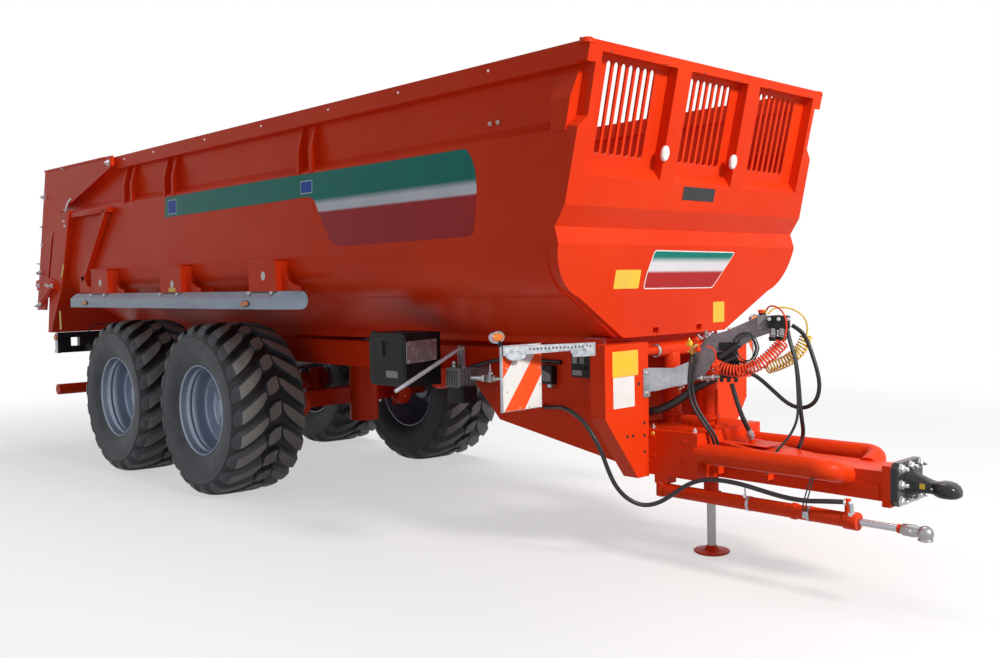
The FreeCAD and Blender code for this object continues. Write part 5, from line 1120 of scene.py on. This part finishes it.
# ---------------------------------------------------------------- rear frame, locks and tailgate trim
FRAME_OUT = -1.178
LOCK_PLATE = mm(
    "-4125 1655, -4140 1600, -4060 1572, -3990 1560, -3960 1510, -4020 1450, -4085 1440, -4070 1385, "
    "-3990 1372, -3900 1410, -3860 1480, -3800 1500, -3640 1520, -3600 1580, -3640 1650, -3800 1680")

# Rear frame: head arm, slanted strut, lock hooks with pins, narrow labels and stiffeners.
with Piece("rear_frame_trim", "load_body", "red_paint") as piece:
    piece.block("-3300 -1166 2222", "-2430 -1085 2268", RED, 0.005)
    head, heel = Vector((-2.5, -1.14, 2.235)), Vector((-3.044, -1.14, 1.64))
    along = (heel - head).normalized()
    piece.slab(oblong(((0, -0.026), ((heel - head).length, 0.026))), head - Vector((0, 0.026, 0)), along,
               Y.cross(along), 0.052, RED, 0.005)
    piece.side("-3100 1680, -3100 1525, -2760 1525, -2800 1570, -2920 1590, -3000 1680", -1.12, 0.046, RED,
               0.004)
    piece.side(rounded(LOCK_PLATE, 0.012, 3), FRAME_OUT, 0.016, RED, 0.002)
    piece.side(rounded("-4050 1640, -4060 1560, -3700 1545, -3700 1640", 0.01, 3), FRAME_OUT - 0.016, 0.02,
               RED, 0.003)
    piece.bar((-3.93, FRAME_OUT - 0.034, 1.452), (-3.64, FRAME_OUT - 0.034, 1.59), 0.024, RED, 24)
    piece.bar((-4.01, FRAME_OUT - 0.034, 1.414), (-3.925, FRAME_OUT - 0.034, 1.454), 0.013, CHROME, 20)
    for x, z, wide in mm("-3650 1596 44, -4030 1405 40, -3990 1604 36, -3780 1606 30"):
        piece.nut((x, FRAME_OUT - 0.036, z), -Y, wide, 0.9)
    for label in ("-3518 1675, -3481 1675, -3421 1792, -3458 1792",
                  "-3591 1184, -3549 1184, -3549 1360, -3591 1360"):
        piece.side(label, FRAME_OUT - 0.0001, LABEL_THICK, YELLOW)
    for x, z in mm("-3330 2345, -3370 2245, -3350 2200"):
        piece.nut((x, FRAME_OUT + 0.002, z - 0.05), -Y, 0.026, 0.7)
    piece.pipe("-3395 -1150 2285, -3380 -1150 2330, -3330 -1142 2390, -3300 -1130 2400", 0.01, BOLT_ZINC)
    piece.mirror()

CHEEK_OUT = -1.136
CHEEK_BOLTS = mm("-3960 2461 50, -4069 2180 26, -4070 2004 26, -4188 1825 26, -4158 1729 50, -3469 2700 22, "
                 "-4190 1560 26, -4176 1640 24")

# Tailgate: bolts, pivot washers, edge folds, stiffening ribs and the discharge hatch.
with Piece("tailgate_trim", "tailgate", "red_paint") as piece:
    for x, z, wide in CHEEK_BOLTS:
        piece.nut((x, CHEEK_OUT, min(z, 2.69)), -Y, wide, 0.8)
    piece.turned("0 0, 0 45, 10 45, 13 41, 13 0", (-2.402, CHEEK_OUT, 2.64), -Y, RED, 36)
    piece.nut((-2.402, CHEEK_OUT - 0.013, 2.64), -Y, 0.044, 0.6)
    piece.side("-2500 2688, -2500 2702, -3925 2715, -3925 2700", -1.122, 0.026, RED, 0.002)
    piece.mirror()
    slope = Vector((-0.51, 0, -1.457)).normalized()
    top = Vector((-3.6833, 0, 2.64))
    out = Y.cross(slope)
    for y in (-0.8, -0.28, 0.28, 0.8):
        low = 1.235 if abs(y) > 0.5 else 0.9
        piece.slab(oblong(((y - 0.03, 0.06), (y + 0.03, low))), top, Y, slope, 0.046, RED, 0.006)
    piece.slab(oblong("-400 920, 400 1280", 0.02, 3), top, Y, slope, 0.016, RED, 0.003)
    piece.slab(oblong("-340 970, 340 1240", 0.02, 3), top + out * 0.016, Y, slope, 0.01, RED, 0.003)
    for y in (-0.44, 0.44):
        piece.slab(oblong(((y - 0.022, 0.8), (y + 0.022, 1.31))), top, Y, slope, 0.036, RED, 0.004)
    rod = top + out * 0.05 + slope * 0.86
    piece.bar(rod - Vector((0, 0.3, 0)), rod + Vector((0, 0.3, 0)), 0.014, BOLT_ZINC, 16)

LAMP_REAR, LAMP_FRONT = -3.553, -3.515

# Rear lamps with amber, red and clear fields, and the light bar's lips, side lamps and reflectors.
with Piece("tail_lamps_shown", "chassis", "lamp_red", ["tail_lamps"]) as piece:
    piece.block((LAMP_REAR + 0.012, -1.035, 1.022), (LAMP_FRONT, -0.835, 1.118), PLASTIC, 0.004)
    for low, high, finish in ((-1.03, -0.97, AMBER), (-0.967, -0.903, LENS_RED), (-0.9, -0.84, WHITE)):
        piece.block((LAMP_REAR, low, 1.027), (LAMP_REAR + 0.013, high, 1.113), finish, 0.004)
    for step in range(5):
        z = 1.038 + 0.016 * step
        piece.block((LAMP_REAR - 0.0008, -1.028, z), (LAMP_REAR + 0.002, -0.842, z + 0.002), LENS_RED)
    piece.mirror()
with Piece("light_bar_trim", "chassis", "black_steel") as trim:
    for low_z in (0.972, 1.144):
        trim.block((-3.512, -1.249, low_z), (-3.459, -0.7, low_z + 0.014), BLACK_PAINT)
    trim.side(oblong("-3512 975, -3458 1155", 0.01, 3), -1.25, 0.006, ZINC, 0.001)
    trim.turned("0 0, 0 30, 8 30, 12 24, 12 0", "-3485 -1256 1115", -Y, AMBER, 28)
    trim.bar("-3540 -1235 985", "-3460 -1235 985", 0.02, ZINC, 20)
    trim.pipe("-3486 -950 1160, -3480 -930 1200, -3478 -860 1222, -3478 -740 1226", 0.006, HOSE)
    trim.turned("0 0, 0 44, 6 46, 10 40, 10 0", "-3515 -760 1070", -X, LENS_RED, 30)
    trim.mirror()

# ---------------------------------------------------------------- front wall and rim details
# Front wall corner caps and bolts, rim bolts, wall fasteners and the sill under the floor.
with Piece("body_trim", "load_body", "red_paint") as piece:
    # Front wall bolts in the zinc with painted shade and a painted red reflection.
    for y in (-0.94, -0.5, 0.16, 0.5, 0.94):
        piece.nut(FRONT_FOOT + FRONT_UP * ((2.65 - FRONT_FOOT.z) / FRONT_UP.z) + Vector((0, y, 0)),
                  FRONT_OUT, 0.008, 0.5, SHADED_ZINC)
    post = Vector((FRONT_HEAD.x - 0.035, -1.085, FRONT_HEAD.z - 0.01))
    piece.turned("0 0, 0 36, 14 36, 24 30, 29 18, 30 0", post - Vector((0, 0, 0.008)), Z, RED, 28)
    piece.nuts([(x, -1.14, 2.64) for x in (2.35, 1.6, 0.9, 0.1, -0.7, -1.55, -2.1)], -Y, 0.012, 0.4)
    piece.nuts("2260 -1049 2390, 2320 -1049 2390", -Y, 0.02, 0.4, WHITE)
    piece.mirror()
    piece.block("2460 -540 1162", "2598 540 1234.5", RED, 0.004)

# ---------------------------------------------------------------- drawbar details
# Weld marks, side and top plates, bolts and a grease point of the drawbar.
with Piece("drawbar_trim", "chassis", "red_paint") as piece:
    for x, z in mm("2948 654, 2947 565, 2743 657, 2741 559"):
        arc = [math.radians(40 + 25 * i) for i in range(9)]
        piece.pipe([(x + 0.026 * math.cos(a), -0.3102, z + 0.026 * math.sin(a)) for a in arc], 0.0045, RED, 8)
    for side, corners in ((-1, "3743 477, 3954 548"), (1, "-3954 477, -3743 548")):
        piece.slab(oblong(corners, 0.01, 3), (0, side * 0.13, 0), -side * X, Z, 0.008, RED, 0.002)
    piece.nuts("2700 -250 722, 2700 250 722, 2980 -250 722, 2980 250 722", Z, 0.026, 0.7)
    piece.turned("0 0, 0 12, 4 10, 5 0", "2743 -310.1 700", -Y, YELLOW, 16)
    piece.top(oblong("3100 -90, 3320 90", 0.02, 4), 0.652, 0.004, RED)

# The drawbar's suspension cylinder: sleeve, clamps, pin heads and its hose nut.
with Piece("suspension_trim", "chassis", "red_paint") as piece:
    piece.turned("0 0, 0 50, 6 54, 120 54, 128 50, 128 0", "2640 0 1002", Z, RED, 40)
    for z in (0.76, 0.98):
        piece.turned("0 58.5, 0 64, 4 66, 18 66, 22 64, 22 58.5", (2.64, 0, z), Z, RED, 44)
    for side in (-1, 1):
        piece.turned("0 0, 0 38, 10 38, 14 34, 14 0", (2.64, side * 0.136, 1.145), side * Y, BOLT_ZINC)
    piece.nut("2700 0 930", X, 0.03, 1.0)

# ---------------------------------------------------------------- running gear
AXLES = (-0.735, -2.215)

# U-bolt nuts, brake chambers and brake levers at the axles, and two air tanks with their straps.
with Piece("running_gear", "chassis", "red_paint") as piece:
    for axle in AXLES:
        for y in (-0.4, -0.36):
            piece.nut((axle + 0.04, y, 0.578), -Z, 0.03)
        chamber = Vector((axle + 0.26, -0.5, 0.61))
        piece.turned("0 0, 0 50, 10 72, 45 78, 52 84, 62 84, 70 78, 110 72, 122 50, 124 0", chamber,
                     (-0.9, 0, 0.2), RED, 36)
        piece.bar(chamber, chamber + Vector((-0.16, 0, 0.02)), 0.009, BOLT_ZINC, 14)
        piece.slab(oblong("-20 -130, 20 30", 0.016, 4), (axle + 0.1, -0.5, 0.65), X, Z, 0.014, RED, 0.002)
        piece.pipe([(axle + 0.1, -0.56, 0.65), (axle + 0.04, -0.6, 0.655), (axle, -0.64, 0.65)], 0.014, RED)
    piece.mirror()
    for x, y in mm("550 0, 860 0"):
        piece.turned("0 0, 0 60, 12 98, 40 112, 560 112, 588 98, 600 60, 600 0", (x, -0.3, 0.935), Y, RED, 40)
        for shift in (0.12, 0.48):
            piece.turned("0 112.5, 0 116, 22 116, 22 112.5", (x, -0.3 + shift, 0.935), Y, BLACK_PAINT, 40)

# ---------------------------------------------------------------- floor, lamps and world
FLOOR_SIZE, PLAIN_RADIUS, WHITE_RADIUS = 60, 4.6, 9.5
SURROUND = (0.84, 0.91, 1.0, 1)


def seen_rays(tree):
    """1 where the camera, a reflection or a clear piece looks, and 0 for the light on the object."""
    path = shader_node(tree, "LightPath", {})
    total = path.outputs["Is Camera Ray"]
    for kind in ("Is Glossy Ray", "Is Transmission Ray"):
        total = shader_node(tree, "Math", {0: total, 1: path.outputs[kind]}, operation="MAXIMUM").outputs[0]
    return total


def mix_shaders(tree, share, first, second, end):
    """Two shaders mixed by share into the tree's output node."""
    mix = shader_node(tree, "MixShader", {"Fac": share, 1: first.outputs[0], 2: second.outputs[0]})
    feed(tree, tree.nodes[end].inputs["Surface"], mix.outputs[0])


def make_floor():
    """A wide pale floor that keeps the shadow and fades to white away from the trailer."""
    piece = bmesh.new()
    bmesh.ops.create_grid(piece, x_segments=8, y_segments=8, size=FLOOR_SIZE / 2)
    mesh = bpy.data.meshes.new("floor")
    piece.to_mesh(mesh)
    piece.free()
    made = Finish("studio_floor", 0.9, specular=0.1)
    tree = made.tree
    seen = seen_rays(tree)
    made.colour(made.mixed(seen, grey(0.42), grey(0.88)))
    away = made.node("VectorMath", {0: made.places}, operation="LENGTH")
    fade = made.node("MapRange", {"Value": away.outputs["Value"], 1: PLAIN_RADIUS, 2: WHITE_RADIUS, 3: 0.55},
                     interpolation_type="SMOOTHSTEP")
    share = made.node("Math", {0: seen, 1: fade.outputs["Result"]}, operation="MULTIPLY")
    glow = made.node("Emission", {"Color": WHITE_LIGHT})
    mix_shaders(tree, share.outputs[0], tree.nodes["Principled BSDF"], glow, "Material Output")
    mesh.materials.append(made.material)
    placed("studio_floor", mesh)


def make_world():
    """An even pale surround, white where the camera or a reflection sees it."""
    scene.world = bpy.data.worlds.new("studio")
    scene.world.use_nodes = True
    tree = scene.world.node_tree
    fill = tree.nodes["Background"]
    feed(tree, fill.inputs["Color"], SURROUND)
    feed(tree, fill.inputs["Strength"], 0.3)
    seen = shader_node(tree, "Background", {"Color": WHITE_LIGHT, "Strength": 1.0})
    mix_shaders(tree, seen_rays(tree), fill, seen, "World Output")


def soft_lamp(name, place, aim, size, power, colour=(1, 1, 1)):
    """A rectangular area lamp that points at aim."""
    lamp = bpy.data.lights.new(name, "AREA")
    lamp.shape = "RECTANGLE"
    lamp.size, lamp.size_y = size
    lamp.energy = power
    lamp.color = colour
    thing = placed(name, lamp)
    thing.location = place
    thing.rotation_euler = (Vector(aim) - Vector(place)).to_track_quat("-Z", "Y").to_euler()


make_floor()
make_world()
soft_lamp("key", (14.0, -0.4, 8.0), (1.5, 0.0, 1.2), (2.5, 2.5), 1800, (1.0, 0.97, 0.92))
soft_lamp("top", (-1.0, 3.0, 11.0), (0.0, 0.5, 1.0), (9.0, 4.0), 560)
soft_lamp("side", (1.0, -13.0, 4.5), (0.0, 0.0, 1.2), (12.0, 2.5), 90, (0.92, 0.96, 1.0))
scene.view_settings.view_transform = "Standard"
